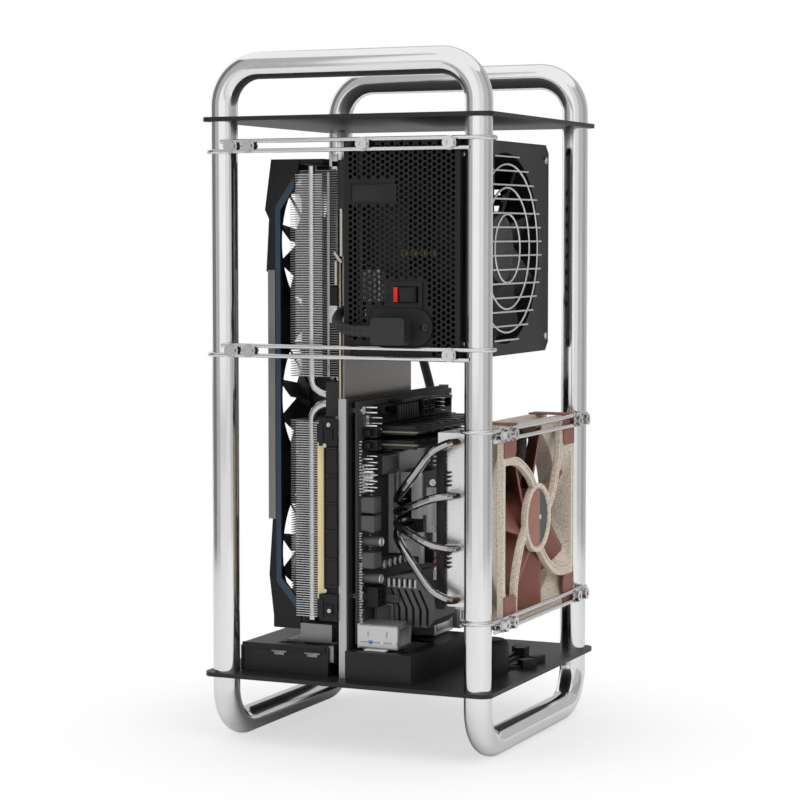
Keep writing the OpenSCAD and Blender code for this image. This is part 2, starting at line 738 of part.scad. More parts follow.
module card_trim() {
    // angular strip that lies on the cover along the fins
    color("#25455c") place() for (y = [card_y0 - 0.8 - fit, card_y1 + fit])
        pull_y(y, y + 0.8) difference() {
            polygon([[-51.5, card_z1 - 20], [-62.6, card_z1 - 36], [-62.6, card_z + 38],
                [-47.6, card_z + 21], [-47.6, card_z + 13], [-66.4, card_z + 35],
                [-66.4, card_z1 - 33], [-51.5, card_z1 - 12]]);
        }
}

module card_side_strip() {
    // ribbed insert along the front edge of the cover, beside the trim
    color("#8b827e") place() difference() {
        pull_y(card_y0 - 1.2 - fit, card_y0 - fit)
            translate([card_x0 - 0.2, card_z + 80]) square([5.5, card_len - 158]);
        for (z = [card_z + 82 : 2.4 : card_z1 - 80])
            span([card_x0 + 0.8, card_y0 - 3, z], [card_x0 + 4.4, card_y0 - 1, z + 0.9]);
    }
}

card_pipe_y = [card_y0 + 3.2, card_mid_y - 14, card_mid_y + 14, card_mid_y + 42];

module fin_comb(z0, z1) {
    // fins joined by the folded tabs at their left and right edges
    n = floor((z1 - z0) / card_fin_pitch);
    for (i = [0 : n])
        translate([card_fin_x0, z0 + i * card_fin_pitch])
            square([card_fin_x1 - card_fin_x0, card_fin_t]);
}

module card_fin_block(z0, z1) {
    difference() {
        union() {
            pull_y(card_y0 + 2, card_y1 - 5) fin_comb(z0, z1);
            for (x = [card_fin_x0 + 8, card_fin_x1 - 9])
                span([x, card_y0 + 4, z0], [x + 0.6, card_y0 + 16, z1]);
            span([card_fin_x1 - 1, card_y0 + 20, z0], [card_fin_x1, card_y1 - 20, z1]);
        }
        for (y = card_pipe_y) translate([card_pipe_x, y, z0 - 5])
            cylinder(h = z1 - z0 + 10, d = pipe_d + 2 * fit);
    }
}

card_pipe_x = -39.4;
card_bend = 12;

module card_fins() {
    // upper and lower stack, with a gap for the pipes between them
    color("gainsboro") place() {
        card_fin_block(card_z + 182, card_z1 - 8);
        card_fin_block(card_z + 11, card_z + 151);
    }
}

module card_heat_pipes() {
    color("silver") place() {
        for (y = card_pipe_y) {
            translate([card_pipe_x, y, card_z + 9])
                cylinder(h = 154.1 - card_bend, d = pipe_d);
            translate([card_pipe_x, y, card_z + 169.9 + card_bend])
                cylinder(h = card_len - 174.9 - card_bend, d = pipe_d);
            // both pipes turn towards the board in the gap between the stacks
            for (s = [-1, 1])
                translate([card_pipe_x + card_bend, y, card_z + 166.5 + s * (card_bend + 3.4)])
                    rotate([90, 0, 0]) rotate([0, 0, s > 0 ? 180 : 90]) rotate_extrude(angle = 90)
                        translate([card_bend, 0]) circle(d = pipe_d);
        }
        // block on the graphics chip
        span([card_pipe_x + card_bend, card_y0 + 0.5, card_z + 154.5],
            [card_board_x - fit, card_mid_y + 48, card_z + 178.5]);
    }
}

module card_board() {
    color("#1c1f1a") place() difference() {
        span([card_board_x, card_y0 + 1, card_z + 10], [card_board_x + 1.6, card_y1 - 18, card_z + 262]);
        span([card_board_x - 1, card_y0 - 5, card_z + 136],
            [card_board_x + 3, card_y0 + 8, card_z + 165]);
    }
}

module card_backplate() {
    color("#77716c") place() difference() {
        span([card_x1 - card_plate_t, card_y0, card_z + 8], [card_x1, card_y1 - 2, card_z1 - 16]);
        for (z = [card_z + 20 : 60 : card_z1 - 30], y = [card_y0 + 8, card_y1 - 10])
            translate([card_x1 - 5, y, z]) rotate([0, 90, 0]) cylinder(h = 8, d = 3);
    }
    color("#77716c") place() for (z = [card_z + 30, card_z + 120, card_z + 240])
        span([card_board_x + 1.6 + fit, card_mid_y - 3, z],
            [card_x1 - card_plate_t, card_mid_y + 3, z + 6]);
}

card_wheel_x = card_x0 + 1;
card_wheel_h = 11;
card_hub_r = 19;

module at_card_fan(i) {
    translate([card_wheel_x, card_mid_y, card_fan_z[i]]) rotate([0, 90, 0]) children();
}

module card_wheel(i) {
    color("#232427") place() at_card_fan(i)
        fan_wheel(card_fan_d / 2, card_hub_r, card_wheel_h, 11, 40, 1.4, 15);
}

module card_fan_low() {
    card_wheel(0);
}

module card_fan_mid() {
    card_wheel(1);
}

module card_fan_high() {
    card_wheel(2);
}

module card_fan_mounts() {
    // motors on four arms, each arm ending in a post on the back of the fan face
    seat = card_wheel_h + 0.8;
    post_r = card_fan_d / 2 + 2 * run_gap + 1;
    face = card_x0 + 5.5 - card_wheel_x + fit;
    color("#2a2b2e") place() for (i = [0 : 2]) at_card_fan(i) {
        cylinder_from(seat, seat + 1.5, 16);
        fan_motor(card_hub_r, card_wheel_h, 1);
        for (a = [45, 135, 225, 315]) rotate([0, 0, a]) {
            translate([12, -1.5, seat]) cube([post_r - 8, 3, 1.5]);
            translate([post_r, -2, face]) cube([4, 4, seat + 1.5 - face]);
        }
    }
}

module card_end_plate() {
    // sheet end plate with cut-outs for its sockets, and the screening can above it
    z = card_z - 7.6;
    color("silver") place() {
        difference() {
            span([card_x0 + 12, card_y0 + 2, z], [card_x1, card_y1 - 4, z + 1.2]);
            for (i = [0 : 3])
                span([card_x0 + 34, card_y0 + 12 + i * 24, z - 1],
                    [card_x0 + 44, card_y0 + 29 + i * 24, z + 3]);
        }
        span([-47.2, card_y0 - 1, z + 1.2], [-22.6, card_y0 + 30, z + 14]);
        span([card_x1 - 1.2, card_y0 + 10, z + 1.2], [card_x1, card_y1 - 30, card_z + 8]);
    }
}

riser_y0 = card_y0 - 14.6;

module riser_board() {
    // small upright board that carries the slot, held to the tray by its two brackets
    color("#c9b48a") place() {
        span([-26.9, riser_y0, 97], [-22.1, riser_y0 + 12, 218.5]);
        span([-22.2, riser_y0 + 1.7, 97], [-11, riser_y0 + 3.3, 218.5]);
        for (z = [92, 209])
            span([-21, riser_y0 + 3.2, z], [tray_x0 - fit, riser_y0 + 9.6, z + 13]);
    }
}

module riser_slot() {
    // black slot before the board: end blocks, and five soldered blocks between them
    y1 = riser_y0 + 1.7 - fit;
    color("#141516") place() {
        span([-22, riser_y0 - 0.4, 97], [-11, y1, 218.5]);
        for (i = [0 : 4])
            span([-18.7, riser_y0 - 3.4, 115 + i * 19.4], [-11, riser_y0 - 0.3, 133.4 + i * 19.4]);
        for (z = [90, 213]) span([-24.5, riser_y0 - 3, z], [-11, riser_y0 - 0.3, z + 19]);
    }
}

module card_base() {
    // folded sheet stand under the card with two slots in its top
    z1 = card_z - 7.6 - 0.1;
    z0 = floor_z + fit;
    color("#1e1f21") place() difference() {
        span([-86, -90, z0], [-19, 50, z1]);
        span([-84.5, -88.5, z0 - 1], [-20.5, 60, z1 - 1.5]);
        for (x = [-62, -42]) span([x, -82, z1 - 3], [x + 13, -76, z1 + 1]);
        span([-60, -60, z1 - 3], [-30, 30, z1 + 1]);
    }
}

// Tray: upright sheet folded at its front and back edges
module board_tray() {
    z0 = floor_z + fit;
    color("#b9babb") place() difference() {
        union() {
            span([tray_x1 - 1.5, -tray_y, z0], [tray_x1, tray_y, tray_z1]);
            span([tray_x0, -tray_y, z0], [tray_x1, -tray_y + 1.5, tray_z1]);
            span([tray_x0, tray_y - 1.5, z0], [tray_x1, tray_y, tray_z1]);
            span([tray_x0, -tray_y, z0], [tray_x1, tray_y, z0 + 1.5]);
        }
        translate([tray_x1 - 5, socket_y, socket_z]) rotate([0, 90, 0]) cylinder(h = 8, d = 90);
    }
}

hole_in = 6.35;
post_points = [[board_y0 + hole_in, board_z + 33], [board_y0 + hole_in, board_z1 - hole_in],
    [board_y0 + board_side - hole_in, board_z + 33],
    [board_y0 + board_side - hole_in, board_z1 - hole_in]];

module board_posts() {
    color("gold") place() for (p = post_points) translate([0, p[0], p[1]]) {
        translate([tray_x1 + fit, 0, 0]) rotate([0, 90, 0])
            cylinder(h = -tray_x1 - 2 * fit, d = 6, $fn = 6);
        translate([board_face + fit, 0, 0]) rotate([0, 90, 0]) cylinder(h = 2, d = 6);
        translate([-2, 0, 0]) rotate([0, 90, 0]) cylinder(h = 4, d = 3);
    }
}

module board_base() {
    // folded sheet box that the tray and board stand over
    z0 = floor_z + fit;
    z1 = board_z - 3.5;
    color("#232426") place() difference() {
        span([tray_x1 + fit, -96, z0], [47, 12, z1]);
        span([tray_x1 + fit + 1.5, -94.5, z0 - 1], [45.5, 20, z1 - 1.5]);
        for (i = [0 : 3])
            span([3 + i * 10.5, -90, z1 - 3], [10 + i * 10.5, -80, z1 + 1]);
        span([8, -70, z1 - 3], [38, -34, z1 + 1]);
    }
}

module mainboard() {
    color("#23261f") place() difference() {
        span([0, board_y0, board_z], [board_t, board_y0 + board_side, board_z1]);
        for (p = post_points) translate([-1, p[0], p[1]]) rotate([0, 90, 0])
            cylinder(h = board_t + 2, d = 3.96);
    }
}

b0 = board_face + fit;

module power_sockets() {
    color("#151618") place() {
        difference() {
            span([b0, -31, board_z1 - 12], [b0 + 11, 21, board_z1 - 2]);
            for (i = [0 : 11], j = [0, 1])
                span([b0 + 3, -30 + i * 4.2, board_z1 - 11.2 + j * 4.5],
                    [b0 + 14, -27 + i * 4.2, board_z1 - 8 + j * 4.5]);
        }
        difference() {
            span([b0, 27, board_z1 - 14], [b0 + 9, 46, board_z1 - 3]);
            span([b0 + 2, 29, board_z1 - 12], [b0 + 12, 44, board_z1 - 5]);
        }
        difference() {
            span([b0, 50, board_z1 - 14], [b0 + 8, 66, board_z1 - 4]);
            span([b0 + 2, 52, board_z1 - 12], [b0 + 12, 64, board_z1 - 6]);
        }
        difference() {
            span([b0, -58, board_z1 - 10], [b0 + 8, -38, board_z1 - 4]);
            span([b0 + 2, -56, board_z1 - 9], [b0 + 12, -40, board_z1 - 5]);
        }
        // socket for the processor's supply, at the lower front
        difference() {
            span([b0, -75, 99], [b0 + 11, -61, 113]);
            for (i = [0, 1], j = [0 : 2])
                span([b0 + 3, -73.5 + i * 6, 100 + j * 4.2], [b0 + 14, -70 + i * 6, 103 + j * 4.2]);
        }
    }
}

memory_z = [board_z1 - 21, board_z1 - 31];

module memory_slots() {
    color("#121315") place() for (z = memory_z) difference() {
        span([b0, -67, z - 3.2], [b0 + 8, 74, z + 3.2]);
        span([b0 + 2, -65.1, z - 0.8 - fit], [b0 + 10, 72.1, z + 0.8 + fit]);
    }
}

module memory_sticks() {
    color("#1a1b1d") place() for (z = memory_z) {
        span([b0 + 2 + fit, -63.5, z - 0.8], [b0 + 33, 69.8, z + 0.8]);
        difference() {
            span([b0 + 8.5, -63, z - 3], [b0 + 34, 69.3, z + 3]);
            for (i = [0 : 7])
                span([b0 + 12, -58 + i * 16, z + 2], [b0 + 40, -50 + i * 16, z + 6]);
            for (i = [0 : 7])
                span([b0 + 12, -58 + i * 16, z - 6], [b0 + 40, -50 + i * 16, z - 2]);
        }
    }
}

module board_heat_sink() {
    // stepped aluminium block with grooves across its face, over the lower front of the board
    color("#4a4b4e") place() difference() {
        pull_y(-58, -20) polygon([[b0, 90], [b0 + 20, 84], [b0 + 42, 84], [b0 + 47, 90],
            [b0 + 47, 106], [b0 + 34, 123], [b0 + 8, 118], [b0 + 4, 106], [b0, 104]]);
        for (i = [0 : 4]) translate([b0 + 19 + i * 5.4, 0, 0]) pull_y(-59, -51)
            polygon([[0, 83], [2, 83], [2, 97], [-4.5, 110.5], [-6.5, 110.5], [0, 97]]);
        for (i = [0 : 5])
            span([b0 + 9.3 + i * 4.1, -59, 112.6], [b0 + 11.1 + i * 4.1, -55, 118]);
        span([b0 + 3, -62, 91.5], [b0 + 15, -40, 100]);
    }
}

module drive_cover() {
    color("#2b2c2f") place() {
        span([b0, -66, 190], [b0 + 3, -34, 207]);
        span([b0 + 3, -64, 191], [b0 + 9, -36, 206]);
    }
}

module network_socket() {
    // two screened cans side by side, their mouths down
    z0 = board_z - 2.5;
    color("gainsboro") place() difference() {
        union() {
            span([b0, -85, z0], [b0 + 30.4, -69, z0 + 17]);
            span([b0, -68.6, z0], [b0 + 27, -61, z0 + 17]);
        }
        span([b0 + 2, -83.5, z0 - 1], [b0 + 14, -70.5, z0 + 12]);
        span([b0 + 16, -83.5, z0 - 1], [b0 + 28, -70.5, z0 + 12]);
        span([b0 + 2, -67.4, z0 - 1], [b0 + 25, -62.2, z0 + 13]);
    }
}

module port_block() {
    z0 = board_z - 2.5;
    color("#8d8e90") place() difference() {
        union() {
            span([b0, -18, z0], [b0 + 30, 16, z0 + 16]);
            span([b0, 20, z0], [b0 + 34, 62, z0 + 14]);
        }
        for (i = [0, 1]) span([b0 + 3 + i * 14, -16, z0 - 1], [b0 + 14 + i * 14, 14, z0 + 10]);
        span([b0 + 3, 23, z0 - 1], [b0 + 30, 59, z0 + 9]);
    }
}

module chokes() {
    color("#3c3d40") place() {
        for (z = [127, 153, 166]) span([b0, -80, z], [b0 + 11, -69, z + 11]);
        for (i = [0 : 3]) span([b0, 30 + i * 12, 117], [b0 + 9, 40 + i * 12, 128]);
    }
}

module capacitors() {
    color("#3a3b3e") place() {
        for (z = [145.5, 119.5]) translate([b0, -74.5, z]) rotate([0, 90, 0]) cylinder(h = 13, d = 7);
        for (i = [0 : 4]) translate([b0, -60 + i * 9, 127.7]) rotate([0, 90, 0])
            cylinder(h = 9, d = 6.4);
    }
}

module pin_headers() {
    color("gold") place() {
        for (i = [0 : 7], j = [0, 1])
            span([b0 + 2.5, -78 + j * 2.54, 181 + i * 2.54], [b0 + 9, -77.4 + j * 2.54, 181.6 + i * 2.54]);
        span([b0, -79.5, 179.6], [b0 + 2.5, -73.8, 200]);
        for (i = [0 : 2])
            span([b0 + 2, -72, 224 + i * 4], [b0 + 13, -71.4, 224.6 + i * 4]);
        span([b0, -74, 222], [b0 + 2, -69.5, 234]);
    }
}

module cooler_mount() {
    // frame around the processor and the two pale cross bars over it
    color("#c9cacc") place() {
        difference() {
            span([b0, socket_y - 36, socket_z - 36], [b0 + 4, socket_y + 36, socket_z + 36]);
            span([b0 - 1, socket_y - 22, socket_z - 22], [b0 + 6, socket_y + 22, socket_z + 22]);
        }
        for (s = [-1, 1]) {
            for (z = [-34, 26])
                span([b0 + 4, socket_y + s * 31 - 4, socket_z + z],
                    [b0 + 6, socket_y + s * 31 + 4, socket_z + z + 8]);
            span([b0 + 6, socket_y + s * 31 - 5, socket_z - 36],
                [b0 + 8, socket_y + s * 31 + 5, socket_z + 36]);
        }
    }
}

module cooler_base() {
    color("#6c6d70") place() {
        span([b0, socket_y - 18.5, socket_z - 18.5], [b0 + 5, socket_y + 18.5, socket_z + 18.5]);
        difference() {
            span([b0 + 5, socket_y - 24, socket_z - 22], [b0 + 22, socket_y + 24, socket_z + 22]);
            for (i = [0 : 3]) translate([b0 + 13, socket_y + 25, base_pipe_z(i)])
                rotate([90, 0, 0]) cylinder(h = 60, d = pipe_d + 6 * fit);
        }
        span([b0 + 20, socket_y - 34, socket_z - 5], [b0 + 22, socket_y - 24, socket_z + 5]);
        span([b0 + 20, socket_y + 24, socket_z - 5], [b0 + 22, socket_y + 34, socket_z + 5]);
    }
}

// one pipe: straight through the base, out to the front, round and back through the fins
function base_pipe_z(i) = socket_z - 18 + i * 7;
function pipe_route(i) = let (z0 = base_pipe_z(i), z1 = cooler_pipe_z[i],
    x1 = cooler_x1 - 12, x0 = b0 + 13, y0 = cooler_y0)
    [[x0, socket_y + 26, z0], [x0, socket_y, z0], [x0, socket_y - 24, z0], [x0, y0 + 16, z0],
    [x0 + 1.5, y0 + 6, z0 + (z1 - z0) * 0.03],
    [x0 + 8, y0 - 4, z0 + (z1 - z0) * 0.16], [x0 + 23, y0 - 12, z0 + (z1 - z0) * 0.5],
    [x1 - 15, y0 - 15, z0 + (z1 - z0) * 0.84], [x1 - 4, y0 - 13, z0 + (z1 - z0) * 0.98],
    [x1, y0 - 6, z1], [x1, y0 + 2, z1], [x1, y0 + 30, z1],
    [x1, y0 + (cooler_n - 1) * cooler_pitch + 4, z1]];

module cooler_pipes() {
    color("silver") place() for (i = [0 : 3])
        sweep_tube(spline(pipe_route(i), 3), pipe_d / 2, 12);
}

module cooler_fins() {
    pipe_x = cooler_x1 - 12;
    color("whitesmoke") place() difference() {
        union() {
            rotate([0, 0, 0]) translate([0, 0, cooler_z0]) linear_extrude(cooler_z1 - cooler_z0)
                for (i = [0 : cooler_n - 1])
                    translate([cooler_x0, cooler_y0 + i * cooler_pitch])
                        square([cooler_x1 - cooler_x0, cooler_fin_t]);
            for (z = [cooler_z0 + 22, cooler_z1 - 22.6])
                span([cooler_x0 + 4, cooler_y0, z],
                    [cooler_x1 - 4, cooler_y0 + (cooler_n - 1) * cooler_pitch + cooler_fin_t, z + 0.6]);
        }
        for (z = cooler_pipe_z) translate([pipe_x, 0, z]) rotate([90, 0, 0])
            cylinder(h = 300, d = pipe_d + 2 * fit, center = true);
    }
}

// Case fan: square frame with a round duct, four curved arms on its outer face
fan_hub_r = 20.5;

module fan_flange() {
    difference() {
        rounded_outline(fan_side, fan_side, 9);
        circle(d = fan_bore_d);
        for (sx = [-1, 1], sy = [-1, 1])
            translate([sx * fan_hole_y, sy * fan_hole_y]) circle(d = clamp_d + 2 * fit);
    }
}

fan_wheel_in = 1.5;
fan_wheel_h = 19;
arm_w = 6;
arm_r = 36;
arm_off = 32;

module fan_frame() {
    color("#d9cbb8") place() translate([fan_x0, 0, fan_mid_z]) rotate([90, 0, 90]) {
        linear_extrude(4.5) fan_flange();
        translate([0, 0, fan_t - 4.5]) linear_extrude(4.5) fan_flange();
        translate([0, 0, 4]) linear_extrude(fan_t - 8) difference() {
            circle(d = fan_bore_d + 4);
            circle(d = fan_bore_d);
        }
        // motor seat, and arms that curve out to the corners
        translate([0, 0, fan_t - 3]) linear_extrude(3) {
            difference() {
                circle(r = fan_hub_r + 2);
                circle(r = fan_hub_r - 4);
            }
            for (a = [50 : 90 : 320]) rotate(a) intersection() {
                translate([arm_off, 0]) difference() {
                    circle(r = arm_r + arm_w / 2, $fn = 72);
                    circle(r = arm_r - arm_w / 2, $fn = 72);
                }
                difference() {
                    circle(d = fan_bore_d + 2);
                    circle(r = fan_hub_r + 1);
                }
                translate([-20, -90]) square([120, 96]);
            }
        }
        translate([0, 0, fan_t - 3]) cylinder(h = 1.5, r = fan_hub_r - 3);
        translate([0, 0, fan_wheel_in]) fan_motor(fan_hub_r, fan_wheel_h, 1.5);
    }
}

module fan_pads() {
    // soft corner pads on both faces, wrapped a little over the edge
    color("#7d4a3d") place() translate([fan_x0, 0, fan_mid_z]) rotate([90, 0, 90])
        for (sx = [0, 1], sy = [0, 1]) mirror([sx, 0, 0]) mirror([0, sy, 0]) {
            for (z = [-pad_t, fan_t]) translate([0, 0, z]) linear_extrude(pad_t) difference() {
                intersection() {
                    rounded_outline(fan_side, fan_side, 9);
                    translate([fan_side / 2 - 22, fan_side / 2 - 22]) square(30);
                }
                translate([0, 0]) circle(d = fan_bore_d + 6);
                translate([fan_hole_y, fan_hole_y]) circle(d = clamp_d + 2 * fit);
            }
            translate([fan_side / 2 - 24, fan_side / 2 + fit, -pad_t]) cube([15, 1, fan_t + 2 * pad_t]);
        }
}

module fan_rotor() {
    color("#6d4034") place() translate([fan_x0 + fan_wheel_in, 0, fan_mid_z]) rotate([0, 90, 0])
        fan_wheel(fan_bore_d / 2 - run_gap, fan_hub_r, fan_wheel_h, 7, 34, 1.8, 42);
}

// Round push switch body that stands on the bottom plate, and the small plugs on its leads
base_socket_at = [77, -21];
base_socket_r = 12.5;

module base_socket() {
    color("#141416") place() difference() {
        translate([base_socket_at[0], base_socket_at[1], floor_z + fit]) rotate_extrude($fn = 64)
            polygon([[0, 0], [base_socket_r, 0], [base_socket_r, 19], [base_socket_r - 1, 21.5],
                [base_socket_r - 3.5, 23], [0, 23]]);
        // flat face with a recess for the socket
        span([base_socket_at[0] - 6, base_socket_at[1] - base_socket_r - 1, floor_z + 7],
            [base_socket_at[0] + 6, base_socket_at[1] - base_socket_r + 4, floor_z + 17]);
    }
}

// one plug lying on the plate at p, turned by a, its lead running back to the switch body
module loose_plug(p, a, w, h, lead) {
    z = floor_z + fit;
    translate([p[0], p[1], z]) rotate([0, 0, a]) translate([-w / 2, 0, 0]) cube([w, 12, h]);
    away = unit(p - base_socket_at);
    start = base_socket_at + (base_socket_r + fit) * away;
    hull() {
        translate([start[0] + away[0], start[1] + away[1], z]) cylinder(h = lead, d = 2, $fn = 16);
        translate([p[0], p[1], z]) cylinder(h = lead, d = 2, $fn = 16);
    }
}

module loose_plugs() {
    color("#18181a") place() {
        loose_plug([92, -3], -35, 7, 6, 2);
        loose_plug([93, 18], -18, 6, 5, 2);
        loose_plug([76, 37], 4, 8, 7, 2);
        loose_plug([67, 53], 14, 6, 5, 2);
    }
}

tube_frame();
top_plate();
bottom_plate();
supply_rods();
fan_rods();
clamp_screws();
clamp_fixings();
supply_shell();
supply_grille();
supply_fan_guard();
supply_fan_mount();
supply_fan_rotor();
supply_board();
supply_switch_bezel();
supply_rocker();
supply_inlet();
mains_plug();
mains_cord();
mains_coil();
mains_tail();
wall_plug();
card_shroud();
card_trim();
card_side_strip();
card_fins();
card_heat_pipes();
card_board();
card_backplate();
card_fan_low();
card_fan_mid();
card_fan_high();
card_fan_mounts();
card_end_plate();
riser_board();
riser_slot();
card_base();
board_tray();
board_posts();
board_base();
mainboard();
power_sockets();
memory_slots();
memory_sticks();
board_heat_sink();
drive_cover();
network_socket();
port_block();
chokes();
capacitors();
pin_headers();
cooler_mount();
cooler_base();
cooler_pipes();
cooler_fins();
fan_frame();
fan_pads();
fan_rotor();
base_socket();
loose_plugs();
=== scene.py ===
# Open mini-itx computer case: bent tube, two sheet plates and the computer hung between them.
# Each section is one piece, or a group of like pieces, in the order in which the real case goes together.
import math

import bmesh
import bpy
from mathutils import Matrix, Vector


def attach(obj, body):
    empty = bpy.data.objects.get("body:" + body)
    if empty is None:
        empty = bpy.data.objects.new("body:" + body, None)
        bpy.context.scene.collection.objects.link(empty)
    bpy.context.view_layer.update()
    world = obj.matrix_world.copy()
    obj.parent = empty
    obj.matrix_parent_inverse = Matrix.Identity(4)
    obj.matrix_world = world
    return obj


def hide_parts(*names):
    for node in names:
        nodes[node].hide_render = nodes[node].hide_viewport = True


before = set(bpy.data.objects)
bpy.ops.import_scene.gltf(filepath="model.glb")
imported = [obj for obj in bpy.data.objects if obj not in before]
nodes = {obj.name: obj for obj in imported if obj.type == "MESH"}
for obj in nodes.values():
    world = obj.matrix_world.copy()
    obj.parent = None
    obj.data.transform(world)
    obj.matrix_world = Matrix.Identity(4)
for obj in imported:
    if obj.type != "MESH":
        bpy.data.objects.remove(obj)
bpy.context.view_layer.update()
bpy.ops.object.select_all(action="DESELECT")

# Camera
# A long lens a little above the middle of the case, turned to its front right corner, as in the photograph.
camera_data = bpy.data.cameras.new("studio_camera")
camera_data.lens = 106.65
camera_data.sensor_width = 36.0
camera_data.clip_start = 0.05
camera_data.clip_end = 60.0
camera = bpy.data.objects.new("studio_camera", camera_data)
camera.location = (0.6940, -1.5735, 0.3585)
camera.rotation_euler = (math.radians(86.06), 0.0, math.radians(23.94))
bpy.context.scene.collection.objects.link(camera)
bpy.context.scene.camera = camera
bpy.context.scene.view_settings.view_transform = "Standard"


# Mains lead
# Round black rubber lead, 7 mm thick and about 1.8 m long. It leaves the plug towards the card, goes back
# beside the power supply and down behind it, and its spare length is wound on the floor behind the case.
class Field:
    """One socket of a finish that is being mixed. Sums and products of fields add their own nodes."""

    def __init__(self, tree, socket):
        self.tree = tree
        self.socket = socket

    def add(self, kind, settings=None, sockets=None, out=0):
        node = self.tree.nodes.new(kind)
        for name, value in (settings or {}).items():
            if name == "stops":
                ramp = node.color_ramp.elements
                while len(ramp) < len(value):
                    ramp.new(0.5)
                for stop, (at, colour) in zip(ramp, value):
                    stop.position = at
                    stop.color = (*colour, 1.0) if len(colour) == 3 else colour
            else:
                setattr(node, name, value)
        for name, value in (sockets or {}).items():
            socket = node.inputs[name]
            if isinstance(value, Field):
                self.tree.links.new(value.socket, socket)
            elif isinstance(value, tuple) and len(value) == 3 and socket.type == "RGBA":
                socket.default_value = (*value, 1.0)
            else:
                socket.default_value = value
        return Field(self.tree, node.outputs[out] if node.outputs else None)

    def sum(self, kind, a, b=0.0):
        return self.add("ShaderNodeMath", {"operation": kind}, {0: a, 1: b})

    def __add__(self, other):
        return self.sum("ADD", self, other)

    def __radd__(self, other):
        return self.sum("ADD", other, self)

    def __sub__(self, other):
        return self.sum("SUBTRACT", self, other)

    def __rsub__(self, other):
        return self.sum("SUBTRACT", other, self)

    def __mul__(self, other):
        return self.sum("MULTIPLY", self, other)

    def __rmul__(self, other):
        return self.sum("MULTIPLY", other, self)

    def __pow__(self, other):
        return self.sum("POWER", self, other)

    def over(self, level, soft=0.0):
        """1 where the field is above level, with a soft step."""
        low = level - max(soft, 1e-4)
        return self.add("ShaderNodeMapRange", {"interpolation_type": "SMOOTHSTEP"},
                        {"Value": self, "From Min": low, "From Max": level + max(soft, 1e-4)})

    def noise(self, size, detail=3.0, stretch=(1.0, 1.0, 1.0), rough=0.5):
        """Clouds with lumps about size metres across, from this place field."""
        place = self.add("ShaderNodeMapping", None, {"Vector": self, "Scale": stretch})
        return self.add("ShaderNodeTexNoise", None,
                        {"Vector": place, "Scale": 1.0 / size, "Detail": detail, "Roughness": rough})

    def mix(self, low, high):
        """Colour low where the field is 0 and high where it is 1."""
        return self.add("ShaderNodeMix", {"data_type": "RGBA"}, {0: self, 6: low, 7: high}, 2)

    def axis(self, which):
        return self.add("ShaderNodeSeparateXYZ", None, {0: self}, which)


def tint(colour, by):
    return tuple(min(1.0, max(0.0, c * by)) for c in colour)


def start_finish(name):
    """An empty finish: its material, its main shader's sockets by name, and the place field."""
    material = bpy.data.materials.new(name)
    material.use_nodes = True
    tree = material.node_tree
    tree.nodes.clear()
    shader = tree.nodes.new("ShaderNodeBsdfPrincipled")
    out = tree.nodes.new("ShaderNodeOutputMaterial")
    tree.links.new(shader.outputs[0], out.inputs["Surface"])
    coord = tree.nodes.new("ShaderNodeTexCoord")
    return material, shader, Field(tree, coord.outputs["Object"])


def close_finish(shader, place, values):
    for name, value in values.items():
        if isinstance(value, Field):
            place.tree.links.new(value.socket, shader.inputs[name])
        elif isinstance(value, tuple) and len(value) == 3:
            shader.inputs[name].default_value = (*value, 1.0)
        else:
            shader.inputs[name].default_value = value


def finish(name, colour, rough, metal=0.0, coat=0.0, grain=0.0008, stretch=(1.0, 1.0, 1.0),
           tone=0.15, scuff=0.10, dent=0.00004, cloud=0.03, spec=0.5):
    """Everyday finish: colour and gloss drift over the piece, and a fine grain shows in the light."""
    material, shader, place = start_finish(name)
    drift = place.noise(cloud, 2.0)
    fine = place.noise(grain, 3.0, stretch)
    both = drift * 0.55 + fine * 0.45
    bump = place.add("ShaderNodeBump", None, {"Height": fine, "Distance": dent, "Strength": 0.6})
    close_finish(shader, place, {
        "Base Color": both.mix(tint(colour, 1.0 - tone), tint(colour, 1.0 + tone)),
        "Roughness": rough + (both - 0.5) * scuff * 2.0,
        "Metallic": metal, "Coat Weight": coat, "Coat Roughness": 0.25, "Normal": bump,
        "Specular IOR Level": spec,
    })
    return material


def wear(material, *names):
    """Puts one finish on CAD nodes, by name."""
    for name in names:
        nodes[name].data.materials.clear()
        nodes[name].data.materials.append(material)


def smooth_route(points, steps):
    """Catmull-Rom stations between the points of a route, as in the part's source."""
    made = []
    for i in range(len(points) - 1):
        a, b = points[max(i - 1, 0)], points[i]
        c, d = points[i + 1], points[min(i + 2, len(points) - 1)]
        for j in range(steps):
            t = j / steps
            made.append(tuple(
                0.5 * (2 * q + (r - p) * t + (2 * p - 5 * q + 4 * r - s) * t * t
                       + (3 * q - p - 3 * r + s) * t ** 3)
                for p, q, r, s in zip(a, b, c, d)))
    return made + [tuple(points[-1])]


# from the middle of the four posts, where the source counts from, to the middle of the whole case
SHIFT = Vector((-1.8, 1.8, 0.0))


def to_row(points):
    """Millimetres from the middle of the four posts, as in the source, to metres in the row frame."""
    return [(Vector(p) + SHIFT) * 0.001 for p in points]


def sin_deg(angle):
    return math.sin(math.radians(angle))


def cos_deg(angle):
    return math.cos(math.radians(angle))


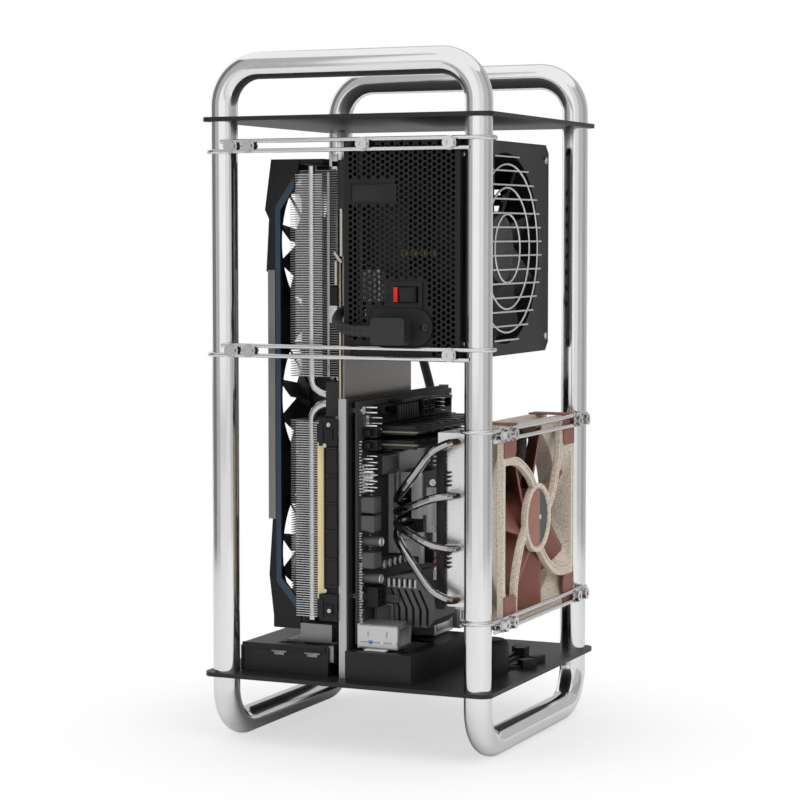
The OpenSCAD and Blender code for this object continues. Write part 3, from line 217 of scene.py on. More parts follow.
lead_d = 7.0
lead_r = 4 * lead_d
lead_z, lead_rise = 294.7, 11.0
back_z = lead_z + lead_rise + 3.4
turn_c = (18.25, -87.75)
drop_x, drop_y = -24.0, 116.5
coil_out_r, coil_in_r = 44.5, 37.5
coil_c = (drop_x - lead_r, drop_y + coil_out_r)
low_lay, high_lay, top_lay = 3.6, 10.6, 17.62
supply_front_y, supply_back_y = -104.5, 65.5
lead_points = [(turn_c[0] + x, turn_c[1] - lead_r, lead_z) for x in (8.0, 5.0, 2.4, 0.0)]
lead_points += [(turn_c[0] - lead_r * sin_deg(a), turn_c[1] - lead_r * cos_deg(a),
                 lead_z + lead_rise * (1 - cos_deg(a))) for a in (5, 12, 22, 34, 48, 62, 76, 90)]
lead_points += [(-9.2, supply_front_y + 25, lead_z + lead_rise + 2.0),
                (-8.0, supply_front_y + 34, lead_z + lead_rise + 3.0), (-6.3, supply_front_y + 50, back_z)]
lead_points += [(-6.0, supply_front_y + y, back_z) for y in (80, 112, 142)]
lead_points += [(-10.0, supply_back_y - 6, back_z), (-17.5, supply_back_y + 9, back_z),
                (-25.0, drop_y - lead_r, back_z)]
lead_points += [(-25.0 - 12.0 * sin_deg(a), drop_y - lead_r * (1 - sin_deg(a)),
                 back_z - lead_r * (1 - cos_deg(a))) for a in range(15, 91, 15)]
lead_points += [(-37.5, drop_y, back_z - 36), (-35.0, drop_y, back_z - 48), (-31.0, drop_y, back_z - 62),
                (-27.0, drop_y, back_z - 78), (-24.7, drop_y, back_z - 92)]
lead_points += [(drop_x, drop_y, z) for z in (195, 165, 130, 100, 80, 66, 57, 51)]
lead_points += [(drop_x - lead_r * (1 - cos_deg(a)), drop_y, top_lay + lead_r * (1 - sin_deg(a)))
                for a in range(0, 91, 15)]


def eased(at, start, end, low, high):
    """From low to high while at goes from start to end, without a corner."""
    t = min(1.0, max(0.0, (at - start) / (end - start)))
    return low + (high - low) * (1 - cos_deg(180 * t)) / 2


# nearly four and a half turns: from the top lay to the middle one, inwards, to the lowest, and out again
coil_end, coil_step, shift = 1591, 4, 30
first_down, inwards, second_down, outwards = 250, 580, 910, 1240
coil_points = []
for turn in range(coil_step, coil_end, coil_step):
    radius = eased(turn, inwards, inwards + shift, coil_out_r, coil_in_r)
    radius += eased(turn, outwards, outwards + shift, 0.0, coil_out_r - coil_in_r)
    height = eased(turn, first_down, first_down + shift, top_lay, high_lay)
    height -= eased(turn, second_down, second_down + shift, 0.0, high_lay - low_lay)
    coil_points.append((coil_c[0] - radius * sin_deg(turn), coil_c[1] - radius * cos_deg(turn), height))
tail_turn, tail_back, tail_run, tail_lift = 120, 30, 30, 2.5
tail_way = (sin_deg(tail_turn), -cos_deg(tail_turn))
tail_from = (coil_c[0] + coil_out_r * cos_deg(tail_turn), coil_c[1] + coil_out_r * sin_deg(tail_turn))
tail_c = (tail_from[0] + tail_run * tail_way[0] + lead_r * tail_way[1],
          tail_from[1] + tail_run * tail_way[1] - lead_r * tail_way[0])
tail_points = [(tail_from[0] + d * tail_way[0], tail_from[1] + d * tail_way[1], low_lay)
               for d in (7.5, 15, 22, 26.2, 28.1, tail_run)]
tail_points += [(tail_c[0] - lead_r * sin_deg(tail_back - a), tail_c[1] + lead_r * cos_deg(tail_back - a),
                 low_lay + tail_lift * (1 - cos_deg(180 * a / 39)) / 2) for a in (8, 18, 30)]
tail_points += [(tail_c[0] + d, tail_c[1] + lead_r, low_lay + tail_lift) for d in (4.4, 6.6, 8.8)]
lead_path = to_row(smooth_route(lead_points, 5)) + to_row(coil_points) + to_row(smooth_route(tail_points, 4))
lead_length = sum((b - a).length for a, b in zip(lead_path, lead_path[1:]))


def lay_strand(name, path, material, depth, rounds, widths=None):
    """A round strand along a path, thickened by depth, or by depth times a width at each point."""
    curve = bpy.data.curves.new(name, "CURVE")
    curve.dimensions = "3D"
    curve.bevel_depth = depth
    curve.bevel_resolution = rounds
    curve.use_fill_caps = True
    curve.materials.append(material)
    strand = curve.splines.new("POLY")
    strand.points.add(len(path) - 1)
    for number, (point, at) in enumerate(zip(strand.points, path)):
        point.co = (*at, 1.0)
        if widths:
            point.radius = widths[number]
    strand.use_smooth = True
    piece = bpy.data.objects.new(name, curve)
    bpy.context.scene.collection.objects.link(piece)
    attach(piece, "frame")
    return piece


lead_rubber = finish("lead_rubber", (0.016, 0.016, 0.017), 0.52, grain=0.0006, dent=0.00003, tone=0.25)
wear(lead_rubber, "mains_cord", "mains_coil", "mains_tail", "mains_plug", "wall_plug")
lead = lay_strand("mains_lead", lead_path, lead_rubber, lead_d / 2000, 5)
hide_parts("mains_cord", "mains_coil", "mains_tail")

# the tapered sleeve that takes the strain where the lead leaves its plug, with rings cut round its far part
sleeve_run, sleeve_root, sleeve_tip = 26.0, 4.45, 3.70
ring_from, ring_step, ring_bare, ring_cut = 6.0, 3.6, 2.2, 0.35
sleeve_path, sleeve_widths = [], []
gone = 0.0
for a, b in zip(lead_path, lead_path[1:]):
    for part in range(6):
        far = (gone + (b - a).length * part / 6) * 1000
        if far <= sleeve_run:
            cut = ring_cut if far > ring_from and far % ring_step > ring_bare else 0.0
            sleeve_path.append(a.lerp(b, part / 6))
            sleeve_widths.append(sleeve_root - (sleeve_root - sleeve_tip) * (far / sleeve_run) ** 0.8 - cut)
    gone += (b - a).length
lay_strand("plug_strain_relief", sleeve_path, lead_rubber, 0.001, 6, sleeve_widths)

# Studio
# A pale floor that carries the soft shadow and turns white further off, a white surround, broad soft
# lamps, and grey boards that only reflections see, so that the polished tube shows its bands.
bpy.ops.mesh.primitive_plane_add(size=8.0, location=(0.0, 0.0, 0.0))
floor = bpy.context.active_object
floor.name = "studio_floor"
bpy.ops.object.mode_set(mode="EDIT")
bpy.ops.mesh.select_all(action="SELECT")
bpy.ops.transform.translate(value=(0.0, 0.6, -0.0002))
bpy.ops.object.mode_set(mode="OBJECT")
floor_paint, floor_shader, floor_place = start_finish("studio_floor")
floor_grain = floor_place.noise(0.4, 2.0)
close_finish(floor_shader, floor_place, {
    "Base Color": floor_grain.mix((0.84, 0.84, 0.84), (0.86, 0.86, 0.86)), "Roughness": 0.7,
})
from_middle = floor_place.add("ShaderNodeVectorMath", {"operation": "LENGTH"}, {0: floor_place}, 1)
far_off = floor_place.add("ShaderNodeMapRange", {"interpolation_type": "SMOOTHSTEP"},
                          {"Value": from_middle, "From Min": 0.10, "From Max": 0.29})
seen_white = (far_off * 0.38 + 0.62) * floor_place.add("ShaderNodeLightPath")
floor_white = floor_place.add("ShaderNodeEmission", None, {"Color": (1.0, 1.0, 1.0), "Strength": 1.0})
floor_mix = floor_place.add("ShaderNodeMixShader", None, {
    0: seen_white, 1: Field(floor_paint.node_tree, floor_shader.outputs[0]), 2: floor_white})
floor_out = [n for n in floor_paint.node_tree.nodes if n.type == "OUTPUT_MATERIAL"][0]
floor_paint.node_tree.links.new(floor_mix.socket, floor_out.inputs["Surface"])
floor.data.materials.append(floor_paint)

world = bpy.data.worlds.new("studio")
world.use_nodes = True
bpy.context.scene.world = world
sky = world.node_tree
sky.nodes.clear()
sky_out = sky.nodes.new("ShaderNodeOutputWorld")
sky_light = sky.nodes.new("ShaderNodeBackground")
sky.links.new(sky_light.outputs[0], sky_out.inputs[0])
rays = sky.nodes.new("ShaderNodeLightPath")
seen = Field(sky, rays.outputs["Is Camera Ray"])
clear = seen.sum("MAXIMUM", Field(sky, rays.outputs["Is Glossy Ray"]),
                 Field(sky, rays.outputs["Is Transmission Ray"]))
shown = seen.sum("MAXIMUM", seen, clear)
strength = shown * 0.45 + 0.55
sky.links.new(strength.socket, sky_light.inputs["Strength"])
sky_light.inputs["Color"].default_value = (1.0, 1.0, 1.0, 1.0)


def soft_lamp(name, at, to, size, power):
    data = bpy.data.lights.new(name, "AREA")
    data.shape = "RECTANGLE"
    data.size, data.size_y = size
    data.energy = power
    lamp = bpy.data.objects.new(name, data)
    lamp.location = at
    lamp.rotation_euler = (Vector(to) - Vector(at)).to_track_quat("-Z", "Y").to_euler()
    lamp.visible_glossy = False
    bpy.context.scene.collection.objects.link(lamp)
    return lamp


soft_lamp("lamp_over", (0.1, -0.3, 2.3), (0.0, 0.0, 0.2), (1.6, 1.6), 20.0)
soft_lamp("lamp_right", (1.9, -1.1, 1.1), (0.0, 0.0, 0.25), (1.0, 1.5), 15.0)
soft_lamp("lamp_left", (-1.7, -1.5, 0.9), (0.0, 0.0, 0.25), (0.9, 1.5), 9.0)

# each board by its turn from the camera's side, about the middle of the case, its width as an angle, its grey
camera_side, board_reach, board_middle = -66.3, 1.05, 0.5
board_turns = ((19, 30, 0.80), (53, 36, 0.54), (90, 36, 0.40), (127, 36, 0.52), (-62, 28, 0.48),
               (-99, 44, 0.20), (170, 44, 0.55))
for number, (turn, wide, shade) in enumerate(board_turns):
    angle = math.radians(camera_side + turn)
    half = board_reach * math.tan(math.radians(wide / 2))
    bpy.ops.mesh.primitive_plane_add(size=2.0)
    board = bpy.context.active_object
    board.name = "grey_board_" + str(number)
    bpy.ops.object.mode_set(mode="EDIT")
    bpy.ops.mesh.select_all(action="SELECT")
    bpy.ops.transform.resize(value=(half, 1.0, 1.0), center_override=(0, 0, 0))
    bpy.ops.transform.rotate(value=math.radians(90), orient_axis="X", center_override=(0, 0, 0))
    bpy.ops.transform.rotate(value=-angle + math.radians(90), orient_axis="Z", center_override=(0, 0, 0))
    bpy.ops.transform.translate(value=(board_reach * math.cos(angle), board_reach * math.sin(angle),
                                       board_middle))
    bpy.ops.object.mode_set(mode="OBJECT")
    for ray in ("visible_camera", "visible_diffuse", "visible_shadow", "visible_transmission"):
        setattr(board, ray, False)
    paint, paint_shader, paint_place = start_finish("grey_board_" + str(number))
    close_finish(paint_shader, paint_place, {
        "Base Color": (0.0, 0.0, 0.0), "Specular IOR Level": 0.0, "Roughness": 1.0,
        "Emission Color": paint_place.noise(0.6).mix(tint((shade,) * 3, 0.9), tint((shade,) * 3, 1.1)),
        "Emission Strength": 1.0})
    board.data.materials.append(paint)

# Tube frame
# Stainless tube, 19 mm across, bent eight times into one closed run: a hoop over the top at the front and
# at the back, and a bar on the floor at each side. It is ground and buffed until it mirrors the room.
polish, polish_shader, polish_place = start_finish("polished_tube")
haze = polish_place.noise(0.05, 2.0)
lines = polish_place.noise(0.0007, 2.0, (1.0, 1.0, 0.05))
rubbed = polish_place.noise(0.012, 3.0).over(0.62, 0.1)
close_finish(polish_shader, polish_place, {
    "Base Color": haze.mix((0.79, 0.79, 0.80), (0.86, 0.86, 0.86)), "Metallic": 1.0,
    "Roughness": 0.12 + (haze - 0.5) * 0.05 + (lines - 0.5) * 0.05 + rubbed * 0.03,
    "Normal": polish_place.add("ShaderNodeBump", None,
                               {"Height": lines, "Distance": 0.00001, "Strength": 0.3}),
})
wear(polish, "tube_frame")


def source_place(x, y, z):
    """A place in source millimetres, from the middle of the four posts, in metres in the row frame."""
    return (Vector((x, y, z)) + SHIFT) * 0.001


def more_block(low, high):
    """Adds a block between two corners, in source millimetres, to the mesh being edited, and selects it."""
    bpy.ops.mesh.select_all(action="DESELECT")
    bpy.ops.mesh.primitive_cube_add(size=1.0, location=(0, 0, 0))
    a, b = source_place(*low), source_place(*high)
    bpy.ops.transform.resize(value=tuple(b - a), center_override=(0, 0, 0))
    bpy.ops.transform.translate(value=tuple((a + b) / 2))


def more_disc(centre, radius, depth, along="Y", sides=24):
    """Adds a short round bar about a centre, in source millimetres, to the mesh being edited."""
    bpy.ops.mesh.select_all(action="DESELECT")
    bpy.ops.mesh.primitive_cylinder_add(vertices=sides, radius=radius * 0.001, depth=depth * 0.001,
                                        location=(0, 0, 0))
    if along != "Z":
        bpy.ops.transform.rotate(value=math.radians(90), orient_axis={"Y": "X", "X": "Y"}[along],
                                 center_override=(0, 0, 0))
    bpy.ops.transform.translate(value=tuple(source_place(*centre)))


def start_piece(name):
    """A new empty mesh object at the origin, in edit mode."""
    bpy.ops.object.select_all(action="DESELECT")
    bpy.ops.mesh.primitive_cube_add(size=1.0, location=(0, 0, 0))
    piece = bpy.context.active_object
    piece.name = piece.data.name = name
    bpy.ops.object.mode_set(mode="EDIT")
    bpy.context.tool_settings.mesh_select_mode = (False, False, True)
    bpy.ops.mesh.select_all(action="SELECT")
    bpy.ops.mesh.delete(type="VERT")
    return piece


def pick(facing, level=None, low=None, high=None):
    """Selects faces by the way they look, and by the place of their middle, in source millimetres."""
    mesh = bmesh.from_edit_mesh(bpy.context.edit_object.data)
    mesh.select_mode = {"FACE"}
    for face in mesh.faces:
        middle = face.calc_center_median() * 1000 - SHIFT
        good = face.normal.dot(Vector(facing)) > 0.9
        if level is not None:
            axis = max(range(3), key=lambda i: abs(facing[i]))
            good = good and abs(middle[axis] - level) < 0.06
        if low is not None:
            good = good and all(a - 0.01 <= m <= b + 0.01 for a, m, b in zip(low, middle, high))
        face.select = good
    mesh.select_flush_mode()
    bmesh.update_edit_mesh(bpy.context.edit_object.data)


def sink(facing, level, rim, depth, low=None, high=None):
    """Insets the faces found and pushes them in by depth millimetres; a negative depth raises them."""
    pick(facing, level, low, high)
    bpy.ops.mesh.inset(thickness=rim * 0.001, depth=0)
    bpy.ops.mesh.extrude_region_move(
        TRANSFORM_OT_translate={"value": tuple(-Vector(facing) * depth * 0.001)})


def close_piece(piece, material, body="frame", bevel=0.0, steps=2, replaces=(), smooth=32):
    """Ends the edit: outward normals, softened edges, shading, material and body, and hides the parts it
    replaces.
    """
    bpy.ops.mesh.select_all(action="SELECT")
    bpy.ops.mesh.normals_make_consistent(inside=False)
    bpy.ops.object.mode_set(mode="OBJECT")
    if bevel:
        soften = piece.modifiers.new("edges", "BEVEL")
        soften.width = bevel * 0.001
        soften.segments = steps
        soften.limit_method = "ANGLE"
        soften.angle_limit = math.radians(35)
        soften.use_clamp_overlap = True
        bpy.ops.object.modifier_apply(modifier=soften.name)
    bpy.ops.object.shade_smooth_by_angle(angle=math.radians(smooth))
    piece.data.materials.clear()
    for one in (material if isinstance(material, (list, tuple)) else [material]):
        piece.data.materials.append(one)
    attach(piece, body)
    if replaces:
        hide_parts(*replaces)
    return piece


def second_finish(piece, test, index=1):
    """Gives faces another finish of the piece where test(middle, normal) holds, in source millimetres."""
    for face in piece.data.polygons:
        if test(face.center * 1000 - SHIFT, face.normal):
            face.material_index = index


def node_box(name):
    """Corners of a CAD node in source millimetres."""
    corners = [nodes[name].matrix_world @ Vector(c) * 1000 - SHIFT for c in nodes[name].bound_box]
    return tuple(Vector(end(c[i] for c in corners) for i in range(3)) for end in (min, max))


# Plates
# Two 3 mm steel plates with rounded corners, slid over the posts and powder coated matt black. The
# coating is even, with the fine orange peel of powder, and a little thinner and shinier at the edges.
coated, coated_shader, coated_place = start_finish("coated_plate")
powder = coated_place.noise(0.0009, 2.0)
peel = coated_place.noise(0.0035, 2.0)
drift = coated_place.noise(0.06, 2.0)
dust = coated_place.noise(0.0005, 1.0).over(0.74, 0.03)
close_finish(coated_shader, coated_place, {
    "Base Color": (drift * 0.5 + powder * 0.4 + dust * 0.3).mix((0.010, 0.0098, 0.0095),
                                                                (0.018, 0.0175, 0.017)),
    "Roughness": 0.44 + (powder - 0.5) * 0.16 + (drift - 0.5) * 0.08, "Specular IOR Level": 0.38,
    "Normal": coated_place.add("ShaderNodeBump", None,
                               {"Height": powder * 0.5 + peel, "Distance": 0.00006, "Strength": 0.5}),
})
wear(coated, "top_plate", "bottom_plate")

# Hook rods and their clamps
# Drawn stainless rods, 3 mm thick, hooked round the posts and clamped in pairs by round headed
# screws with washers and nuts. The rods keep their drawing lines, the screws their turned rings.
rod_steel = finish("rod_steel", (0.72, 0.72, 0.72), 0.19, metal=1.0, grain=0.0006, stretch=(1.0, 1.0, 8.0),
                   tone=0.07, dent=0.00001)
screw_steel = finish("screw_steel", (0.68, 0.68, 0.67), 0.25, metal=1.0, grain=0.0005, tone=0.10,
                     dent=0.00002, cloud=0.004)
wear(rod_steel, "supply_rods", "fan_rods")
wear(screw_steel, "clamp_screws", "clamp_fixings")

# Power supply
# Folded steel sheet in satin black with a punched front, a moulded inlet and switch, and a plated
# wire guard over the fan in its side. Its board, coils and heat sinks show through the holes.
satin_sheet = finish("satin_black_sheet", (0.0095, 0.0095, 0.010), 0.42, grain=0.0011, dent=0.00007,
                     tone=0.25, spec=0.35)
punched = finish("punched_sheet", (0.0095, 0.0095, 0.0098), 0.50, grain=0.0011, dent=0.00005, tone=0.22,
                 spec=0.30)
guard = finish("guard_wire", (0.72, 0.72, 0.71), 0.16, metal=1.0, tone=0.07, dent=0.00001)
moulded = finish("moulded_black", (0.0080, 0.0080, 0.0085), 0.52, grain=0.0005, dent=0.00003, tone=0.3,
                 spec=0.35)
dark_moulded = finish("moulded_dark", (0.022, 0.022, 0.024), 0.40, grain=0.0007, dent=0.00003, tone=0.25,
                      spec=0.4)
wear(satin_sheet, "supply_shell")
wear(punched, "supply_grille")
wear(guard, "supply_fan_guard")
wear(moulded, "supply_fan_mount", "supply_switch_bezel", "supply_rocker", "supply_inlet")
wear(dark_moulded, "supply_fan_rotor")


def board_finish(name, base, track, pad, edge, edge_axis, edge_below):
    """Printed board: lacquer over copper tracks, tinned pads in rows, and the bare resin at one cut edge."""
    material, shader, place = start_finish(name)
    cells = place.add("ShaderNodeTexVoronoi", {"distance": "CHEBYCHEV"}, {"Vector": place, "Scale": 330.0})
    runs = place.noise(0.004, 1.0, (1.0, 1.0, 4.0)).over(0.55, 0.02)
    pads = 1.0 - cells.over(0.16, 0.02)
    dots = place.noise(0.009, 1.0).over(0.56, 0.03)
    colour = runs.mix(base, track)
    colour = (pads * dots).mix(colour, pad)
    bare = 1.0 - place.axis(edge_axis).over(edge_below, 0.00002)
    close_finish(shader, place, {
        "Base Color": bare.mix(colour, edge), "Roughness": 0.42 - pads * dots * 0.15 + bare * 0.15,
        "Metallic": pads * dots * 0.7, "Coat Weight": 0.15, "Coat Roughness": 0.3,
        "Normal": place.add("ShaderNodeBump", None, {"Height": runs * 0.3 + pads, "Distance": 0.00005,
                                                     "Strength": 0.4})})
    return material


supply_resin = board_finish("supply_board_resin", (0.012, 0.030, 0.014), (0.016, 0.042, 0.018),
                            (0.30, 0.29, 0.26), (0.20, 0.18, 0.09), 1, -0.0895)
wear(supply_resin, "supply_board")

label_black = finish("label_field", (0.012, 0.0125, 0.014), 0.42, grain=0.0006, tone=0.15, spec=0.35)
label = start_piece("supply_label_field")
label_front = supply_front_y - 0.45
more_block((7.0, label_front, 382.0), (40.2, supply_front_y, 393.8))
sink((0, -1, 0), label_front, 1.0, 0.3)
close_piece(label, label_black, bevel=0.12)

stripe_red = finish("stripe_red", (0.62, 0.004, 0.004), 0.38, grain=0.0004, tone=0.10, dent=0.00001)
rocker_low, rocker_high = node_box("supply_rocker")
stripe = start_piece("switch_stripe")
more_block((rocker_low.x + 0.3, rocker_low.y - 0.12, rocker_low.z + 1.2),
           (rocker_low.x + 3.2, rocker_low.y + 2.6, rocker_high.z - 1.2))
close_piece(stripe, stripe_red, body="supply_switch", bevel=0.3)
pad = start_piece("switch_press_pad")
more_block((rocker_low.x + 4.6, rocker_low.y - 0.05, rocker_low.z + 1.4),
           (rocker_high.x - 1.2, rocker_low.y + 2.2, rocker_high.z - 1.4))
sink((0, -1, 0), rocker_low.y - 0.05, 0.7, 0.25)
close_piece(pad, moulded, body="supply_switch", bevel=0.15)

screw_black = finish("blackened_screw", (0.05, 0.05, 0.052), 0.30, metal=0.8, grain=0.0004, tone=0.2,
                     cloud=0.004)


def cross_screw(name, centre, radius, facing, material, body="frame"):
    """Pan head screw with a cross recess, seated at centre and looking along facing."""
    piece = start_piece(name)
    axis = max(range(3), key=lambda i: abs(facing[i]))
    way = Vector(facing)
    height = radius * 0.45
    more_disc(Vector(centre) + way * (height / 2 - 0.2), radius, height + 0.4, "XYZ"[axis], 20)
    pick(facing, (Vector(centre) + way * height)[axis])
    bpy.ops.mesh.inset(thickness=radius * 0.00035, depth=0)
    bpy.ops.mesh.inset(thickness=radius * 0.00022, depth=-radius * 0.00006)
    bpy.ops.mesh.inset(thickness=radius * 0.00012, depth=-radius * 0.00030)
    close_piece(piece, material, body, bevel=radius * 0.09)
    piece.select_set(False)
    return piece


def screw_row(name, radius, facing, look, places):
    """A row of like screws, numbered in turn."""
    for number, place in enumerate(places):
        cross_screw(name + str(number), place, radius, facing, look)


supply_side_x = 86.7
screw_row("supply_front_screw_", 2.2, (0, -1, 0), screw_black,
          [(x, supply_front_y, z) for x, z in ((4.4, 279.4), (83.0, 421.3), (4.4, 421.3))])
cross_screw("inlet_screw", (62.3, supply_front_y - 1.9, 297.3), 2.5, (0, -1, 0), screw_black)
screw_row("supply_side_screw_", 2.6, (1, 0, 0), screw_steel,
          [(supply_side_x, y, z) for y, z in ((-96.0, 414.0), (-96.0, 286.0), (58.0, 414.0), (58.0, 286.0))])
screw_row("supply_back_screw_", 2.4, (0, 1, 0), screw_black,
          [(x, supply_back_y, z) for x, z in ((6.0, 418.0), (80.0, 418.0), (6.0, 283.0), (80.0, 283.0))])

# behind the punched front: a bare aluminium heat sink with standing fins, and a row of amber capacitors
bare_metal = finish("bare_aluminium", (0.74, 0.75, 0.77), 0.32, metal=0.55, grain=0.0005, tone=0.10, spec=0.5)
sink_inside = start_piece("supply_heat_sink")
more_block((12.4, -97.0, 314.0), (27.5, -95.4, 336.0))
for row in range(5):
    fin_x, odd = 12.6 + row * 3.2, row % 2
    more_block((fin_x, -102.0, 315.0 + odd), (fin_x + 2.0, -96.0, 335.0 - 2 * odd))
more_block((15.0, -102.0, 303.0), (17.0, -96.0, 309.0))
close_piece(sink_inside, bare_metal, bevel=0.25)
amber = finish("amber_tape", (0.30, 0.20, 0.03), 0.45, grain=0.0006, tone=0.2)
tape = start_piece("supply_coil_tape")
for row in range(4):
    more_disc((44.0 + row * 7.2, -99.4, 347.5), 2.9, 3.0, "Y", 16)
close_piece(tape, amber, bevel=0.3)

# Graphics card
# Black moulded cover with a steel blue trim over two stacks of thin aluminium fins on plated pipes,
# a printed board, a taupe metal back plate and a steel end plate with its sockets.
wear(moulded, "card_shroud", "card_fan_mounts")
wear(dark_moulded, "card_fan_low", "card_fan_mid", "card_fan_high")
blue = finish("blue_trim", (0.016, 0.045, 0.075), 0.38, grain=0.0006, tone=0.15)
taupe = finish("taupe_metal", (0.27, 0.25, 0.235), 0.36, metal=0.80, grain=0.0006, stretch=(1.0, 1.0, 0.06),
               tone=0.14)
fins = finish("fin_sheet", (0.78, 0.78, 0.79), 0.28, metal=1.0, grain=0.0005, tone=0.08, dent=0.00001)
pipes = finish("plated_pipe", (0.43, 0.425, 0.415), 0.14, metal=1.0, tone=0.06, dent=0.00001)
steel = finish("plain_steel", (0.62, 0.62, 0.61), 0.30, metal=1.0, grain=0.0005, tone=0.08, dent=0.00001)
gold = finish("bare_board_edge", (0.78, 0.62, 0.33), 0.45, grain=0.0006, tone=0.12)
wear(blue, "card_trim")
wear(taupe, "card_side_strip", "card_backplate")
# painted shade: a darker copy of the fin sheet, for the fin stacks that lie behind their bright front lips
fins_painted_shade = finish("fin_sheet_painted_shade", (0.30, 0.30, 0.31), 0.35, metal=0.9, grain=0.0005, tone=0.15,
                   dent=0.00001)
wear(fins_painted_shade, "card_fins")
wear(fins, "cooler_fins")
wear(pipes, "cooler_pipes")
end_steel = finish("end_plate_steel", (0.26, 0.26, 0.262), 0.34, metal=0.85, grain=0.0006, tone=0.12)
wear(end_steel, "card_end_plate")
wear(gold, "riser_board")
card_resin = board_finish("card_board_resin", (0.007, 0.008, 0.006), (0.010, 0.012, 0.009),
                          (0.30, 0.29, 0.26), (0.62, 0.53, 0.36), 1, -0.0719)
wear(card_resin, "card_board")
wear(moulded, "riser_slot")
wear(satin_sheet, "card_base", "board_base")


def split_finish(name, first, second, axis, level):
    """Two plain looks on one piece, meeting where the place along an axis, in metres, passes a level."""
    material, shader, place = start_finish(name)
    grain = place.noise(0.0006, 3.0)
    drift = place.noise(0.03, 2.0)
    past = place.axis(axis).over(level, 0.00003)
    near = grain.mix(tint(first[0], 0.92), tint(first[0], 1.08))
    far = drift.mix(tint(second[0], 0.85), tint(second[0], 1.15))
    close_finish(shader, place, {
        "Base Color": past.mix(near, far), "Metallic": first[2] + past * (second[2] - first[2]),
        "Roughness": first[1] + past * (second[1] - first[1]) + (grain - 0.5) * 0.08,
        "Normal": place.add("ShaderNodeBump", None, {"Height": grain, "Distance": 0.00002, "Strength": 0.4})})
    return material


card_pipes = split_finish("card_pipe_and_block", ((0.62, 0.61, 0.60), 0.14, 1.0),
                          ((0.02, 0.02, 0.021), 0.5, 0.2), 0, -0.0294)
wear(card_pipes, "card_heat_pipes")


def stack(piece, count, step, way=(0, 0, 1)):
    """Repeats the piece count times, step millimetres apart, and applies the repeats."""
    rows = piece.modifiers.new("rows", "ARRAY")
    rows.count = count
    rows.use_relative_offset = False
    rows.use_constant_offset = True
    rows.constant_offset_displace = tuple(Vector(way) * step * 0.001)
    bpy.context.view_layer.objects.active = piece
    bpy.ops.object.modifier_apply(modifier=rows.name)


# each fin ends in a folded lip at the front, which closes over the outer heat pipe
fin_step = 1.7
for name, z0, count in (("card_fin_lips_low", 89.6, 82), ("card_fin_lips_high", 260.6, 84)):
    lips = start_piece(name)
    more_block((-50.5, -76.2, z0), (-29.4, -73.1, z0 + 0.55))
    close_piece(lips, fins, bevel=0.08, steps=1)
    stack(lips, count, fin_step)
lip_strip = start_piece("card_fin_strip")
for z0, z1 in ((89.5, 229.0), (260.5, 403.5)):
    more_block((-26.8, -73.8, z0), (-24.9, -73.0, z1))
    sink((0, -1, 0), -73.8, 0.5, 0.3, (-27.0, -74.0, z0), (-24.5, -73.0, z1))
close_piece(lip_strip, pipes, bevel=0.1)

# pale support bracket at the card's upper end, a dark sheet corner and the card's power plugs
cream = finish("cream_bracket", (0.62, 0.59, 0.52), 0.40, metal=0.4, grain=0.0005, tone=0.08)
bracket = start_piece("card_bracket")
more_block((-15.5, -77.0, 345.0), (-13.5, -75.2, 378.0))
more_block((-18.0, -77.0, 339.8), (-16.0, -75.2, 349.0))
bpy.ops.transform.rotate(value=math.radians(38), orient_axis="Y",
                         center_override=tuple(source_place(-16.6, -76.0, 343.9)))
more_block((-19.5, -77.0, 325.0), (-17.8, -75.2, 341.4))
close_piece(bracket, cream, bevel=0.25)
hanger = start_piece("card_hanger")
more_block((-23.5, -77.0, 405.5), (-21.5, -75.4, 417.0))
more_block((-23.5, -77.0, 405.5), (-17.4, -75.4, 407.6))
more_block((-21.6, -77.0, 411.0), (-17.0, -75.4, 416.0))
close_piece(hanger, steel, bevel=0.25)
corner = start_piece("card_sheet_corner")
more_block((-17.2, -76.2, 377.0), (-10.6, -75.2, 411.5))
sink((0, -1, 0), -76.2, 1.2, 0.35)
close_piece(corner, dark_moulded, bevel=0.3)
plugs = start_piece("card_plug_black")
more_block((-23.2, -76.0, 312.0), (-18.0, -73.4, 323.5))
more_block((-23.6, -76.4, 310.8), (-17.7, -73.8, 313.0))
close_piece(plugs, moulded, bevel=0.4)
ivory = finish("ivory_moulded", (0.72, 0.72, 0.71), 0.45, grain=0.0005, tone=0.05)
plug_pale = start_piece("card_plug_pale")
more_block((-23.8, -76.4, 298.5), (-18.0, -73.4, 310.3))
sink((0, -1, 0), -76.4, 0.9, 0.5)
close_piece(plug_pale, ivory, bevel=0.3)

# the slot: a moulded latch and clip on each end block, and ribs that part the solder blocks
latch = start_piece("riser_latches")
for z in (92.5, 215.5):
    more_block((-25.6, -93.6, z), (-21.0, -91.4, z + 13))
    more_block((-20.0, -94.0, z + 2), (-13.5, -92.0, z + 9))
    sink((0, -1, 0), -94.0, 0.8, 0.5, (-21, -95, z), (-12, -92, z + 15))
close_piece(latch, moulded, bevel=0.5)
screw_row("riser_screw_", 1.5, (0, -1, 0), steel,
          [(x, -93.4, z) for x, z in ((-19.4, 111.5), (-19.4, 213.5), (-16.2, 97.5), (-16.4, 228.0))])
ribs = start_piece("riser_ribs")
for row in range(6):
    rib_z = 114.4 + row * 19.4
    more_block((-18.9, -94.4, rib_z), (-11.0, -92.6, rib_z + 0.7))
more_block((-21.6, -91.0, 99.0), (-20.4, -90.2, 217.0))
close_piece(ribs, dark_moulded, bevel=0.15)

